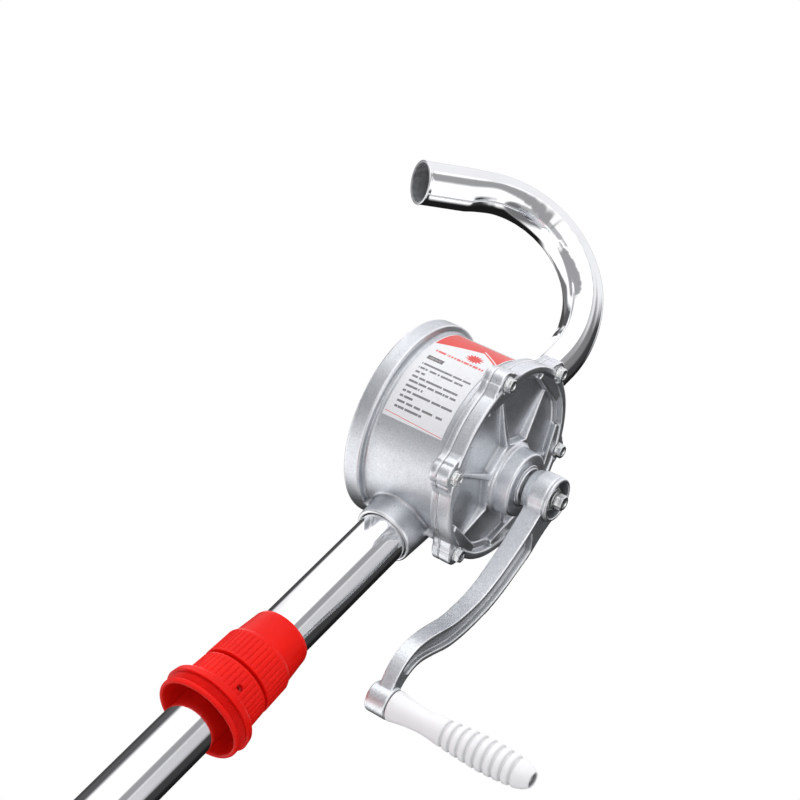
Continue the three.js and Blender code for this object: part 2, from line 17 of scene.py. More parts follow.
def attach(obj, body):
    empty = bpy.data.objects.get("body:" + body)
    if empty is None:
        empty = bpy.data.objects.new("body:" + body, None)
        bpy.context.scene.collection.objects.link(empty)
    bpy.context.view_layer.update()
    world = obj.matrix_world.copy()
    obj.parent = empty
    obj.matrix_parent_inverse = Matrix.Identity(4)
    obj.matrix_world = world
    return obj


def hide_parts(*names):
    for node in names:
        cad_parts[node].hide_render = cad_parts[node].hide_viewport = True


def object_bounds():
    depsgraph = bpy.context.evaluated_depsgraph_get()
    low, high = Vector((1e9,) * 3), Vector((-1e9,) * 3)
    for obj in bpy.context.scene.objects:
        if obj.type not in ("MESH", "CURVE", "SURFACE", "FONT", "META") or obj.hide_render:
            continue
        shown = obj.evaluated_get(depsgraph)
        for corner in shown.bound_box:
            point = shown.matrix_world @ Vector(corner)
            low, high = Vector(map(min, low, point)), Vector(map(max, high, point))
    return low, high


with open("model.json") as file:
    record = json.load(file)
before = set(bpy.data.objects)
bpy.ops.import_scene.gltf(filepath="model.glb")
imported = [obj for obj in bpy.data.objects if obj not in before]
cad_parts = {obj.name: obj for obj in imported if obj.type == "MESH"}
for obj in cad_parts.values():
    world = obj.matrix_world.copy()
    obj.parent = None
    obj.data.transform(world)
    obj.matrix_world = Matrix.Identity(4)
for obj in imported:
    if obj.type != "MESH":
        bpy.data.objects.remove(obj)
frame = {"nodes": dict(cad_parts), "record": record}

cad_lo, cad_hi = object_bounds()
scene = bpy.context.scene

# ------------------------------------------------------------------ pump coordinates
# Pieces are drawn in millimetres. z = 0 is the barrel's axis, ORIGIN_Z above the drum seat.
# x = 0, y = 0 is the suction tube's axis, ORIGIN_Y behind the frame's origin.
MM = 0.001
ORIGIN_Y, ORIGIN_Z = 29.6, 249.5
BARREL_X = -24.3
SHAFT_X = -11.9
BARREL_AXIS = (BARREL_X, 0)  # [x, z]
SHAFT_AXIS = (SHAFT_X, 0)
GRIP_X, GRIP_Z = 18.7, -172.4
GRIP_AXIS = (GRIP_X, GRIP_Z)


def on_barrel(radius, degrees):
    """The [x, z] point at a radius and angle about the barrel's axis."""
    angle = math.radians(degrees)
    return (BARREL_X + radius * math.cos(angle), radius * math.sin(angle))


BOLT_ANGLES = [180, 120, 60, 0, -60, -120]
BOLT_SPOTS = [on_barrel(66.4, angle) for angle in BOLT_ANGLES]


# ------------------------------------------------------------------ mesh helpers
def solid(vertices, faces):
    """An object from points in pump millimetres, its normals turned outward."""
    points = np.array(vertices, float) + (0, ORIGIN_Y, ORIGIN_Z)
    mesh = bpy.data.meshes.new("part")
    mesh.from_pydata((points * MM).tolist(), [], faces)
    bm = bmesh.new()
    bm.from_mesh(mesh)
    bmesh.ops.recalc_face_normals(bm, faces=bm.faces)
    bm.to_mesh(mesh)
    bm.free()
    mesh.update()
    part = bpy.data.objects.new("part", mesh)
    scene.collection.objects.link(part)
    return part


def bake_modifiers(part):
    bpy.context.view_layer.update()
    depsgraph = bpy.context.evaluated_depsgraph_get()
    baked = bpy.data.meshes.new_from_object(part.evaluated_get(depsgraph), depsgraph=depsgraph)
    part.modifiers.clear()
    old = part.data
    part.data = baked
    if old.users == 0:
        bpy.data.meshes.remove(old)
    return part


def boolean(part, tool, operation):
    """Applies a tool object to a part and removes the tool."""
    modifier = part.modifiers.new("bool", "BOOLEAN")
    modifier.operation = operation
    modifier.object = tool
    modifier.solver = "MANIFOLD"
    bake_modifiers(part)
    mesh = tool.data
    bpy.data.objects.remove(tool)
    if mesh.users == 0:
        bpy.data.meshes.remove(mesh)
    return part


def carve(part, adds, cuts):
    for tool in adds:
        boolean(part, tool, "UNION")
    for tool in cuts:
        boolean(part, tool, "DIFFERENCE")


def remesh(part, voxel, smoothing):
    """Remeshes in voxels of the given millimetres and smooths, which rounds cast edges."""
    modifier = part.modifiers.new("remesh", "REMESH")
    modifier.mode = "VOXEL"
    modifier.voxel_size = voxel * MM
    modifier.use_smooth_shade = True
    smoother = part.modifiers.new("smooth", "SMOOTH")
    smoother.factor = 0.5
    smoother.iterations = smoothing
    return bake_modifiers(part)


def fillet(points, radius=0.5, steps=4, support=0.25):
    """Rounds a profile's corners and adds a support point near each end of its long edges.

    A point may carry its own radius as a third number.
    """
    closed = tuple(points[0][:2]) == tuple(points[-1][:2])
    corners = points[:-1] if closed else points
    count = len(corners)
    rounded = []
    for i, point in enumerate(corners):
        corner = np.array(point[:2], float)
        if not closed and i in (0, count - 1):
            rounded.append(corner)
            continue
        to_last = np.array(corners[(i - 1) % count][:2], float) - corner
        to_next = np.array(corners[(i + 1) % count][:2], float) - corner
        last_length, next_length = np.linalg.norm(to_last), np.linalg.norm(to_next)
        to_last, to_next = to_last / last_length, to_next / next_length
        angle = math.acos(max(-1, min(1, float(to_last @ to_next))))
        if angle > math.radians(171):  # nearly straight
            rounded.append(corner)
            continue
        wanted = point[2] if len(point) > 2 else radius
        trim = min(wanted / math.tan(angle / 2), 0.45 * last_length, 0.45 * next_length)
        fitted = trim * math.tan(angle / 2)
        bisector = (to_last + to_next) / np.linalg.norm(to_last + to_next)
        centre = corner + bisector * (fitted / math.sin(angle / 2))
        start = corner + to_last * trim - centre
        end = corner + to_next * trim - centre
        start_angle = math.atan2(start[1], start[0])
        end_angle = math.atan2(end[1], end[0])
        sweep = (end_angle - start_angle + math.pi) % (2 * math.pi) - math.pi
        for k in range(steps + 1):
            turn = start_angle + sweep * k / steps
            rounded.append(centre + fitted * np.array([math.cos(turn), math.sin(turn)]))
    if closed:
        rounded.append(rounded[0])
    supported = [rounded[0]]
    for start, end in zip(rounded, rounded[1:]):
        length = np.linalg.norm(end - start)
        if length > 4 * support:
            along = (end - start) / length
            supported += [start + along * support, end - along * support]
        supported.append(end)
    return [(max(point[0], 0.0), point[1]) for point in supported]


def turned(profile, axis="Y", centre=(0, 0), segments=96, shape=None):
    """A turned closed solid.

    Axis "Y" takes a centre (x, z) and a profile [radius, y]; axis "Z" takes (x, y) and
    [radius, z]. shape(radius, height, angles), if given, returns each ring's radii.
    """
    closed = np.allclose(profile[0], profile[-1])
    angles = np.arange(segments) * 2 * math.pi / segments
    vertices, rings = [], []
    for radius, height in profile[:-1] if closed else profile:
        if radius < 1e-6:
            rings.append([len(vertices)])
            points = [(0.0, 0.0)]
        else:
            rings.append(list(range(len(vertices), len(vertices) + segments)))
            radii = shape(radius, height, angles) if shape else np.full(segments, radius)
            points = zip(radii * np.cos(angles), radii * np.sin(angles))
        for across, up in points:
            if axis == "Y":
                vertices.append((centre[0] + across, height, centre[1] + up))
            else:
                vertices.append((centre[0] + across, centre[1] + up, height))
    pairs = list(zip(rings, rings[1:]))
    if closed:
        pairs.append((rings[-1], rings[0]))
    faces = []
    for ring, following in pairs:
        for i in range(segments):
            j = (i + 1) % segments
            if len(ring) == 1:
                faces.append((ring[0], following[i], following[j]))
            elif len(following) == 1:
                faces.append((ring[i], ring[j], following[0]))
            else:
                faces.append((ring[i], ring[j], following[j], following[i]))
    return solid(vertices, faces)


def disc(radius, start, end, axis="Y", centre=(0, 0), segments=64):
    profile = [(0, start), (radius, start), (radius, end), (0, end)]
    return turned(profile, axis, centre, segments)


def discs_at_bolts(radius, start, end, segments):
    return [disc(radius, start, end, "Y", spot, segments) for spot in BOLT_SPOTS]


def loft(start, end):
    """A solid between two outlines with the same number of [x, y, z] points."""
    count = len(start)
    faces = [tuple(range(count)), tuple(range(2 * count - 1, count - 1, -1))]
    for i in range(count):
        j = (i + 1) % count
        faces.append((i, j, count + j, count + i))
    return solid(start + end, faces)


def prism(front, front_y, back, back_y):
    """A solid from an [x, z] outline at front_y to another at back_y."""
    return loft([(x, front_y, z) for x, z in front], [(x, back_y, z) for x, z in back])


def block(corners):
    """A solid from eight corners: four make one face, the last four the face across."""
    faces = [(0, 1, 2, 3), (7, 6, 5, 4), (0, 4, 5, 1), (1, 5, 6, 2), (2, 6, 7, 3), (3, 7, 4, 0)]
    return solid(corners, faces)


def box(x0, x1, y0, y1, z0, z1):
    return block([(x, y, z) for z in (z0, z1) for x, y in ((x0, y0), (x1, y0), (x1, y1), (x0, y1))])


def rib(spot, near_top, far_top, near_root, far_root):
    """A rib from the shaft's axis toward an [x, z] spot.

    Each end is (distance from the shaft's axis, y, half width).
    """
    length = math.hypot(spot[0] - SHAFT_X, spot[1])
    along_x, along_z = (spot[0] - SHAFT_X) / length, spot[1] / length
    corners = []
    for near, far in ((near_top, far_top), (near_root, far_root)):
        for (distance, y, half_width), side in ((near, 1), (far, 1), (far, -1), (near, -1)):
            x = SHAFT_X + along_x * distance - along_z * half_width * side
            z = along_z * distance + along_x * half_width * side
            corners.append((x, y, z))
    return block(corners)


def spline(points, count):
    """Evenly spaced points along a Catmull-Rom spline through [a, b] points."""
    knots = [np.array(point, float) for point in points]
    knots = [2 * knots[0] - knots[1]] + knots + [2 * knots[-1] - knots[-2]]
    curve = []
    for i in range(1, len(knots) - 2):
        p0, p1, p2, p3 = knots[i - 1 : i + 3]
        for t in np.linspace(0, 1, 24, endpoint=False):
            linear = (p2 - p0) * t
            square = (2 * p0 - 5 * p1 + 4 * p2 - p3) * t * t
            cube = (3 * p1 - p0 - 3 * p2 + p3) * t**3
            curve.append(0.5 * (2 * p1 + linear + square + cube))
    curve.append(knots[-2])
    curve = np.array(curve)
    distance = np.r_[0, np.cumsum(np.linalg.norm(np.diff(curve, axis=0), axis=1))]
    even = np.linspace(0, distance[-1], count)
    return [tuple(float(np.interp(s, distance, curve[:, k])) for k in (0, 1)) for s in even]


def place(part, name, body, material):
    """Names a finished piece, gives it a material and body, and replaces its CAD node."""
    cad = frame["nodes"][name]
    if cad.name == name:
        cad.name = name + ".cad"
    part.name = name
    part.data.name = name
    part.data.materials.clear()
    part.data.materials.append(material)
    part.data.shade_smooth()
    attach(part, body)
    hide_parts(name)


# ------------------------------------------------------------------ shader helpers
class Nodes:
    """Adds nodes to a tree. A value is a number, an RGB tuple or another node's output."""

    def __init__(self, tree):
        self.tree = tree

    def node(self, kind, **settings):
        node = self.tree.nodes.new(kind)
        for key, value in settings.items():
            setattr(node, key, value)
        return node

    def put(self, socket, value):
        if isinstance(value, bpy.types.NodeSocket):
            self.tree.links.new(value, socket)
        else:
            socket.default_value = (*value, 1) if socket.type == "RGBA" else value

    def math(self, operation, *values):
        node = self.node("ShaderNodeMath", operation=operation)
        for socket, value in zip(node.inputs, values):
            self.put(socket, value)
        return node.outputs[0]

    def add(self, first, second):
        return self.math("ADD", first, second)

    def subtract(self, first, second):
        return self.math("SUBTRACT", first, second)

    def multiply(self, first, second):
        return self.math("MULTIPLY", first, second)

    def all_of(self, *masks):
        return reduce(self.multiply, masks)

    def any_of(self, *masks):
        return reduce(lambda first, second: self.math("MAXIMUM", first, second), masks)

    def weigh(self, first, first_weight, second, second_weight):
        return self.add(self.multiply(first, first_weight), self.multiply(second, second_weight))

    def remap(self, value, across, to=(0.0, 1.0), smooth=False):
        """Maps the range across onto the range to, clamped."""
        kind = "SMOOTHSTEP" if smooth else "LINEAR"
        node = self.node("ShaderNodeMapRange", interpolation_type=kind)
        for socket, number in zip(node.inputs, (value, *across, *to)):
            self.put(socket, number)
        return node.outputs[0]

    def mix(self, amount, first, second):
        node = self.node("ShaderNodeMix", data_type="RGBA")
        self.put(node.inputs[0], amount)
        self.put(node.inputs[6], first)
        self.put(node.inputs[7], second)
        return node.outputs[2]


class Surface(Nodes):
    """A principled material textured in object coordinates."""

    def __init__(self, name):
        self.material = bpy.data.materials.new(name)
        self.material.use_nodes = True
        super().__init__(self.material.node_tree)
        self.coordinates = self.node("ShaderNodeTexCoord").outputs["Object"]

    def noise(self, scale, detail=2.0, rough=0.5, stretch=(1, 1, 1), distortion=0.0):
        mapping = self.node("ShaderNodeMapping")
        self.put(mapping.inputs["Vector"], self.coordinates)
        self.put(mapping.inputs["Scale"], stretch)
        node = self.node("ShaderNodeTexNoise")
        self.put(node.inputs["Vector"], mapping.outputs[0])
        self.put(node.inputs["Scale"], scale)
        self.put(node.inputs["Detail"], detail)
        self.put(node.inputs["Roughness"], rough)
        self.put(node.inputs["Distortion"], distortion)
        return node.outputs[0]

    def bump(self, height, distance, strength=1.0, after=None):
        node = self.node("ShaderNodeBump")
        self.put(node.inputs["Distance"], distance)
        self.put(node.inputs["Strength"], strength)
        self.put(node.inputs["Height"], height)
        if after is not None:
            self.put(node.inputs["Normal"], after)
        return node.outputs[0]

    def occlusion(self, distance):
        node = self.node("ShaderNodeAmbientOcclusion", samples=8, only_local=True)
        self.put(node.inputs["Distance"], distance)
        return node.outputs["AO"]

    def facing(self):
        return self.node("ShaderNodeLayerWeight").outputs["Facing"]

    def finish(self, color, rough, normal, metal=0.0, specular=0.5):
        inputs = self.tree.nodes["Principled BSDF"].inputs
        self.put(inputs["Base Color"], color)
        self.put(inputs["Roughness"], rough)
        self.put(inputs["Metallic"], metal)
        self.put(inputs["Normal"], normal)
        self.put(inputs["Specular IOR Level"], specular)
        return self.material


def scaled(color, factor):
    return tuple(channel * factor for channel in color)


# ------------------------------------------------------------------ materials
# Texture distances and bump heights are in metres. rough is (smoothest, roughest).
def cast_metal(name, base, dark, rough, corner=0.010, grain=0.00006, grain_scale=1100, mottle=0.5):
    """Cast aluminium: sand grain, mottling, dark pits, painted edge highlights, painted shade in
    corners, creases and at glancing angles.
    """
    mat = Surface(name)
    fine = mat.noise(scale=grain_scale, detail=3.0, rough=0.6)
    medium = mat.noise(scale=210, detail=4.0, rough=0.6)
    broad = mat.noise(scale=28, detail=3.0, rough=0.55)
    tone = mat.weigh(medium, 0.6, broad, 0.4)
    mottling = mat.remap(tone, across=(0.32, 0.68), to=(0.5 - mottle / 2, 0.5 + mottle / 2))
    color = mat.mix(mottling, dark, base)
    grains = mat.remap(fine, across=(0.36, 0.64), to=(0.40, 0.0))
    color = mat.mix(grains, color, scaled(dark, 0.62))
    pit_noise = mat.noise(scale=430, detail=1.0)
    pits = mat.remap(pit_noise, across=(0.735, 0.775), to=(0.0, 0.5))
    color = mat.mix(pits, color, scaled(dark, 0.4))
    # painted shade: the colour darkens where ambient occlusion finds nearby surfaces within corner
    # metres
    corner_shade = mat.remap(mat.occlusion(corner), across=(0.82, 0.34), to=(0.0, 0.86))
    color = mat.mix(corner_shade, color, scaled(dark, 0.22))
    pointiness = mat.node("ShaderNodeNewGeometry").outputs["Pointiness"]
    # painted highlight: convex edges, found by pointiness, are mixed toward near white
    ridge_highlight = mat.remap(pointiness, across=(0.508, 0.545), to=(0.0, 0.98))
    # painted shade: concave creases, found by pointiness, are darkened
    groove = mat.remap(pointiness, across=(0.490, 0.45), to=(0.0, 0.6))
    color = mat.mix(groove, color, scaled(dark, 0.35))
    color = mat.mix(ridge_highlight, color, (0.98, 0.985, 1.0))
    # painted shade: the colour darkens where the surface turns away from the view
    grazing_shade = mat.remap(mat.facing(), across=(0.76, 0.98), to=(0.0, 0.55))
    color = mat.mix(grazing_shade, color, scaled(dark, 0.3))
    roughness = mat.remap(tone, across=(0.3, 0.7), to=rough[::-1])
    roughness = mat.subtract(roughness, mat.multiply(ridge_highlight, 0.10))
    normal = mat.bump(medium, distance=0.00012, strength=0.5)
    normal = mat.bump(fine, distance=grain, after=normal)
    return mat.finish(color, roughness, normal, metal=1.0)


def chrome(name, stretch, wave, bore=False):
    """Bright plate with drawn lines, smudges, waviness and a painted dark rim at glancing angles; a
    marked bore is bare grey.
    """
    base = (0.90, 0.905, 0.915)
    mat = Surface(name)
    lines = mat.noise(scale=900, stretch=stretch)
    smudge = mat.noise(scale=32, detail=4.0, rough=0.6, distortion=0.6)
    tone = mat.weigh(lines, 0.45, smudge, 0.55)
    roughness = mat.remap(tone, across=(0.35, 0.68), to=(0.045, 0.12))
    color = mat.mix(mat.remap(smudge, across=(0.35, 0.75)), base, scaled(base, 0.93))
    # painted shade: a dark rim where the surface turns away from the view
    grazing_shade = mat.remap(mat.facing(), across=(0.74, 0.97), to=(0.0, 0.72))
    color = mat.mix(grazing_shade, color, (0.12, 0.12, 0.13))
    metal = 1.0
    if bore:
        inside = mat.node("ShaderNodeAttribute", attribute_name="bore").outputs["Fac"]
        grey_noise = mat.noise(scale=300, detail=3.0, rough=0.6)
        grey_tone = mat.remap(grey_noise, across=(0.35, 0.65))
        grey = mat.mix(grey_tone, (0.34, 0.345, 0.355), (0.22, 0.225, 0.235))
        color = mat.mix(inside, color, grey)
        roughness = mat.add(roughness, mat.multiply(inside, 0.5))
        metal = mat.remap(inside, across=(0.0, 1.0), to=(1.0, 0.0))
    normal = mat.bump(mat.noise(scale=60, detail=1.0), distance=wave)
    normal = mat.bump(lines, distance=0.0000015, after=normal)
    return mat.finish(color, roughness, normal, metal)


def steel(name, base, dark, rough, stretch=(1, 1, 1), bump=0.00001):
    """Turned or plated metal: fine tool lines and a cloudy colour."""
    mat = Surface(name)
    lines = mat.noise(scale=1500, rough=0.6, stretch=stretch)
    cloud = mat.noise(scale=160, detail=3.0, rough=0.55)
    color = mat.mix(mat.remap(cloud, across=(0.35, 0.68)), base, dark)
    roughness = mat.remap(mat.weigh(lines, 0.5, cloud, 0.5), across=(0.35, 0.65), to=rough)
    normal = mat.bump(lines, distance=bump, strength=0.8)
    return mat.finish(color, roughness, normal, metal=1.0)


def moulded(name, base, shade, cavity_shade, rough, specular, corner, corner_range):
    """Moulded plastic: flow mottling, fine grain, scuffs, painted shade in the corners."""
    mat = Surface(name)
    flow = mat.noise(scale=45, detail=3.0, stretch=(1, 1, 0.35), distortion=0.4)
    fine = mat.noise(scale=900, detail=3.0, rough=0.55)
    scuff = mat.noise(scale=130, detail=5.0, rough=0.7)
    color = mat.mix(mat.remap(flow, across=(0.35, 0.68)), base, shade)
    # painted shade: corners that ambient occlusion finds take a dark colour
    color = mat.mix(mat.remap(mat.occlusion(corner), across=corner_range), color, cavity_shade)
    roughness = mat.remap(scuff, across=(0.38, 0.68), to=rough)
    normal = mat.bump(flow, distance=0.00010, strength=0.5)
    normal = mat.bump(fine, distance=0.00002, after=normal)
    return mat.finish(color, roughness, normal, specular=specular)


def matte(name, base, light, rough, scale):
    """Rubber, packing and composite: one noise drives colour, roughness and relief."""
    mat = Surface(name)
    noise = mat.noise(scale=scale, detail=4.0, rough=0.65)
    color = mat.mix(mat.remap(noise, across=(0.35, 0.7)), base, light)
    roughness = mat.remap(noise, across=(0.35, 0.7), to=rough)
    return mat.finish(color, roughness, mat.bump(noise, distance=0.00006, strength=0.8))


BODY_METAL = cast_metal(
    "cast_body", base=(0.85, 0.873, 0.905), dark=(0.73, 0.755, 0.79),
    rough=(0.35, 0.48), corner=0.0055,
)
COVER_METAL = cast_metal(
    "cast_cover", base=(0.95, 0.97, 1.0), dark=(0.83, 0.86, 0.90),
    rough=(0.33, 0.46), corner=0.011,
)
CRANK_METAL = cast_metal(
    "cast_crank", base=(0.96, 0.98, 1.0), dark=(0.85, 0.88, 0.92),
    rough=(0.34, 0.48), corner=0.015, grain_scale=800, mottle=0.7,
)
GLAND_METAL = cast_metal(
    "gland_metal", base=(0.86, 0.88, 0.91), dark=(0.70, 0.72, 0.75),
    rough=(0.28, 0.42), grain=0.00003,
)
TUBE_CHROME = chrome("chrome_plate", stretch=(1, 1, 0.02), wave=0.00001)
SPOUT_CHROME = chrome("chrome_spout", stretch=(1, 1, 1), wave=0.00002, bore=True)
# the third colour of each plastic below is the painted shade for its corners
RED_PLASTIC = moulded(
    "red_plastic", base=(0.92, 0.010, 0.005), shade=(0.80, 0.006, 0.003),
    cavity_shade=(0.56, 0.001, 0.001), rough=(0.30, 0.44), specular=0.14,
    corner=0.0035, corner_range=(0.80, 0.2),
)
WHITE_PLASTIC = moulded(
    "white_plastic", base=(0.975, 0.975, 0.975), shade=(0.94, 0.94, 0.945),
    cavity_shade=(0.07, 0.068, 0.085), rough=(0.28, 0.42), specular=0.3,
    corner=0.009, corner_range=(0.80, 0.40),
)
ZINC = steel("zinc_plate", base=(0.86, 0.87, 0.86), dark=(0.72, 0.74, 0.74), rough=(0.2, 0.34))
STEEL = steel(
    "turned_steel", base=(0.56, 0.57, 0.58), dark=(0.44, 0.45, 0.46),
    rough=(0.24, 0.4), stretch=(1, 8, 1),
)
IRON = steel(
    "turned_iron", base=(0.36, 0.37, 0.38), dark=(0.26, 0.27, 0.28),
    rough=(0.36, 0.55), stretch=(1, 6, 1), bump=0.00003,
)
BRONZE = steel(
    "bronze", base=(0.60, 0.38, 0.16), dark=(0.48, 0.29, 0.12),
    rough=(0.25, 0.4), stretch=(1, 8, 1),
)
RUBBER = matte(
    "nitrile", base=(0.018, 0.018, 0.019), light=(0.035, 0.035, 0.036),
    rough=(0.7, 0.9), scale=700,
)
GASKET = matte(
    "gasket_sheet", base=(0.05, 0.05, 0.052), light=(0.10, 0.10, 0.10),
    rough=(0.7, 0.85), scale=1400,
)
PACKING = matte(
    "packing_braid", base=(0.04, 0.04, 0.042), light=(0.11, 0.11, 0.115),
    rough=(0.5, 0.8), scale=900,
)
CARBON = matte(
    "carbon_composite", base=(0.03, 0.03, 0.032), light=(0.055, 0.055, 0.058),
    rough=(0.4, 0.6), scale=1200,
)

# what the CAD pieces wear, by material slot
SLOT_MATERIALS = {
    "plain_steel": STEEL, "rotor_iron": IRON, "bush_bronze": BRONZE, "black_rubber": RUBBER,
    "gasket": GASKET, "packing": PACKING, "vane_composite": CARBON, "zinc_plate": ZINC,
    "cast_aluminium": BODY_METAL, "cover_aluminium": COVER_METAL, "chromed_tube": TUBE_CHROME,
    "red_plastic": RED_PLASTIC, "white_plastic": WHITE_PLASTIC, "label_paper": WHITE_PLASTIC,
}
for slot_name, slot_material in SLOT_MATERIALS.items():
    for subpart in frame["record"]["subparts"]:
        if subpart["material_slot"] == slot_name:
            cad_mesh = frame["nodes"][subpart["node"]].data
            cad_mesh.materials.clear()
            cad_mesh.materials.append(slot_material)

# ------------------------------------------------------------------ barrel casting
# one flank of an ear: radius about the barrel, degrees off the bolt; it curves into the rim
EAR_FLANK = [(57, -20), (65.2, -16.5), (65.9, -12.5), (67.6, -9.2), (70.4, -6.6)]

BODY_PROFILE = [  # [radius, y, corner radius], front to back
    (0, -33.45), (66.0, -33.45, 0.2), (66.0, -28.4, 0.9), (62.6, -28.4, 1.4), (61.6, -26.4, 1.5),
    (61.6, 24.4, 1.2), (62.8, 25.8, 1.0), (66.8, 25.8, 1.2), (66.8, 37.8, 1.4),
    (61.4, 37.8, 1.0), (60.4, 32.8, 1.2), (0, 32.8),
]
LOWER_SOCKET = [  # [radius, z, corner radius], cut upward
    (0, -90), (17.9, -90), (17.9, -77.6, 0.3), (17.35, -77.0), (17.35, -58), (0, -58),
]
UPPER_SOCKET = [  # the same, cut downward
    (0, 90), (15.4, 90), (15.4, 77.6, 0.3), (14.85, 77.0), (14.85, 58), (0, 58),
]


def ears(front, back):
    """A round pad and its flared foot at each cover bolt."""
    parts = []
    for angle, spot in zip(BOLT_ANGLES, BOLT_SPOTS):
        parts.append(disc(7.7, front, back, "Y", spot, 48))
        foot = [on_barrel(radius, angle + off) for radius, off in EAR_FLANK]
        foot += [on_barrel(radius, angle - off) for radius, off in reversed(EAR_FLANK)]
        parts.append(prism(foot, front, foot, back))
    return parts


def pipe_neck(side):
    """The neck above (side 1) or below (side -1) the barrel."""
    profile = [
        (0, side * 44), (21.6, side * 44), (20.9, side * 58), (20.3, side * 70),
        (19.9, side * 77.2, 0.8), (18.9, side * 78.1, 0.6), (0, side * 78.1),
    ]
    return turned(fillet(profile), "Z")


def pump_body():
    body = turned(fillet(BODY_PROFILE), centre=BARREL_AXIS, segments=160)
    adds = ears(-33.45, -28.0)
    # rounded root behind each ear
    root = fillet([(0, -30), (7.4, -30), (6.6, -26.4, 2.0), (0, -26.4)])
    adds += [turned(root, centre=on_barrel(65.2, angle), segments=40) for angle in BOLT_ANGLES]
    for side in (-1, 1):
        adds.append(pipe_neck(side))
        # a round bar along y through the neck
        adds.append(disc(2.7, -30, 27, "Y", (0, side * 58.6), 24))
    # boss on the back, with six ribs running out to the rim
    boss = fillet([(0, 31), (17.2, 31), (15.6, 37.4, 1.0), (0, 37.4)])
    adds.append(turned(boss, centre=SHAFT_AXIS, segments=64))
    for angle in BOLT_ANGLES:
        spot = on_barrel(61.8, angle)
        reach = math.hypot(spot[0] - SHAFT_X, spot[1])
        adds.append(rib(spot, (0, 35.4, 1.3), (reach, 34.6, 1.3), (0, 31, 2.4), (reach, 31, 2.4)))
    cuts = [
        disc(55.8, -40, 28.35, "Y", BARREL_AXIS, 128),
        disc(10.3, 27, 35.9, "Y", SHAFT_AXIS, 48),
        turned(fillet(LOWER_SOCKET, 0.3), "Z"),
        disc(14.2, -59, -30, "Z"),
        turned(fillet(UPPER_SOCKET, 0.3), "Z"),
        disc(12.4, 30, 59, "Z"),
    ]
    cuts += discs_at_bolts(2.9, -40, -20, 24)
    carve(body, adds, cuts)
    return remesh(body, voxel=0.85, smoothing=4)


place(pump_body(), "pump_body", "pump", BODY_METAL)

# ------------------------------------------------------------------ front cover
COVER_PROFILE = [  # [radius, y, corner radius], back to front
    (0, -33.7), (66.0, -33.7, 0.2), (66.0, -43.1, 1.0), (61.4, -43.1, 0.8), (60.3, -38.8, 0.8),
    (56.6, -38.8, 0.6), (56.1, -37.5, 0.6), (0, -37.5),
]
COVER_BOSS = [
    (0, -36), (24.6, -36), (24.0, -43.8, 0.8), (22.1, -45.2, 0.6), (22.1, -46.2, 0.5),
    (21.5, -55.2, 1.4), (20.6, -56.0, 1.2), (0, -56.0),
]
PLATEAU_Y = -42.6
EAR_FACE_Y = -41.9


def cover_ribs(spot, reach):
    """A level rib across the plateau and one falling from it toward the rim."""
    foot = reach - 9.0
    level = rib(spot, (12, PLATEAU_Y, 1.9), (27, PLATEAU_Y, 1.9), (12, -36, 2.9), (27, -36, 2.9))
    falling = rib(
        spot, (26.5, PLATEAU_Y, 1.9), (foot, -38.4, 0.9), (26.5, -36, 2.9), (foot + 1, -36, 1.7)
    )
    return [level, falling]


def front_cover():
    cover = turned(fillet(COVER_PROFILE), centre=BARREL_AXIS, segments=160)
    adds = ears(EAR_FACE_Y, -33.7)
    # six-sided plateau, a corner toward each bolt
    reaches = [math.hypot(x - SHAFT_X, z) for x, z in BOLT_SPOTS]
    front, back = (
        [(SHAFT_X + (x - SHAFT_X) / reach * size, z / reach * size)
         for (x, z), reach in zip(BOLT_SPOTS, reaches)]
        for size in (27.6, 28.6)
    )
    adds.append(prism(front, PLATEAU_Y, back, -36.5))
    for spot, reach in zip(BOLT_SPOTS, reaches):
        adds += cover_ribs(spot, reach)
    adds.append(turned(fillet(COVER_BOSS), centre=SHAFT_AXIS))
    cuts = [disc(14.1, -60, -45.9, "Y", SHAFT_AXIS), disc(10.3, -47, -30, "Y", SHAFT_AXIS, 48)]
    cuts += discs_at_bolts(2.9, -60, -30, 24)
    cuts += discs_at_bolts(6.3, -60, EAR_FACE_Y, 40)
    carve(cover, adds, cuts)
    return remesh(cover, voxel=0.62, smoothing=2)


place(front_cover(), "front_cover", "pump", COVER_METAL)


# ------------------------------------------------------------------ bolts
def hex_bolt(centre, flats, top, flange, seat, flange_radius, shank_radius, end, turn):
    """Flange bolt with a dished hexagonal head; top, flange, seat and end are its y levels."""
    half = flats / 2
    flank, flare = 1.0, 1.03  # profile radii that stand for a scale on the hexagon

    def shape(radius, height, angles):
        if radius not in (flank, flare):
            return np.full(len(angles), radius)
        off_flat = (angles - math.radians(turn)) % (math.pi / 3) - math.pi / 6
        # the corners are cut back to 97.5 %
        hexagon = np.minimum(half / np.cos(off_flat), flats / math.sqrt(3) * 0.975)
        return radius * hexagon

    profile = [  # [radius, y]
        (0.0, top + 0.7), (half * 0.52, top + 0.65), (half * 0.62, top + 0.12),
        (half * 0.68, top), (half * 0.93, top), (half * 0.985, top + 0.12),
        (flank, top + 0.55), (flank, top + 1.0), (flank, flange - 0.35), (flare, flange - 0.1),
        (flange_radius - 0.7, flange), (flange_radius - 0.15, flange + 0.25),
        (flange_radius, seat - 0.3), (flange_radius - 0.15, seat), (shank_radius, seat),
        (shank_radius, end - 0.5), (shank_radius - 0.5, end), (0.0, end),
    ]
    return turned(profile, centre=centre, shape=shape)


for i, (bolt_angle, bolt_spot) in enumerate(zip(BOLT_ANGLES, BOLT_SPOTS)):
    bolt = hex_bolt(
        bolt_spot, flats=8.2, top=-46.4, flange=-43.2, seat=-42.15,
        flange_radius=5.1, shank_radius=2.5, end=-30.0, turn=bolt_angle + 11 * i,
    )
    place(bolt, f"cover_bolt_{i + 1}", "pump", ZINC)

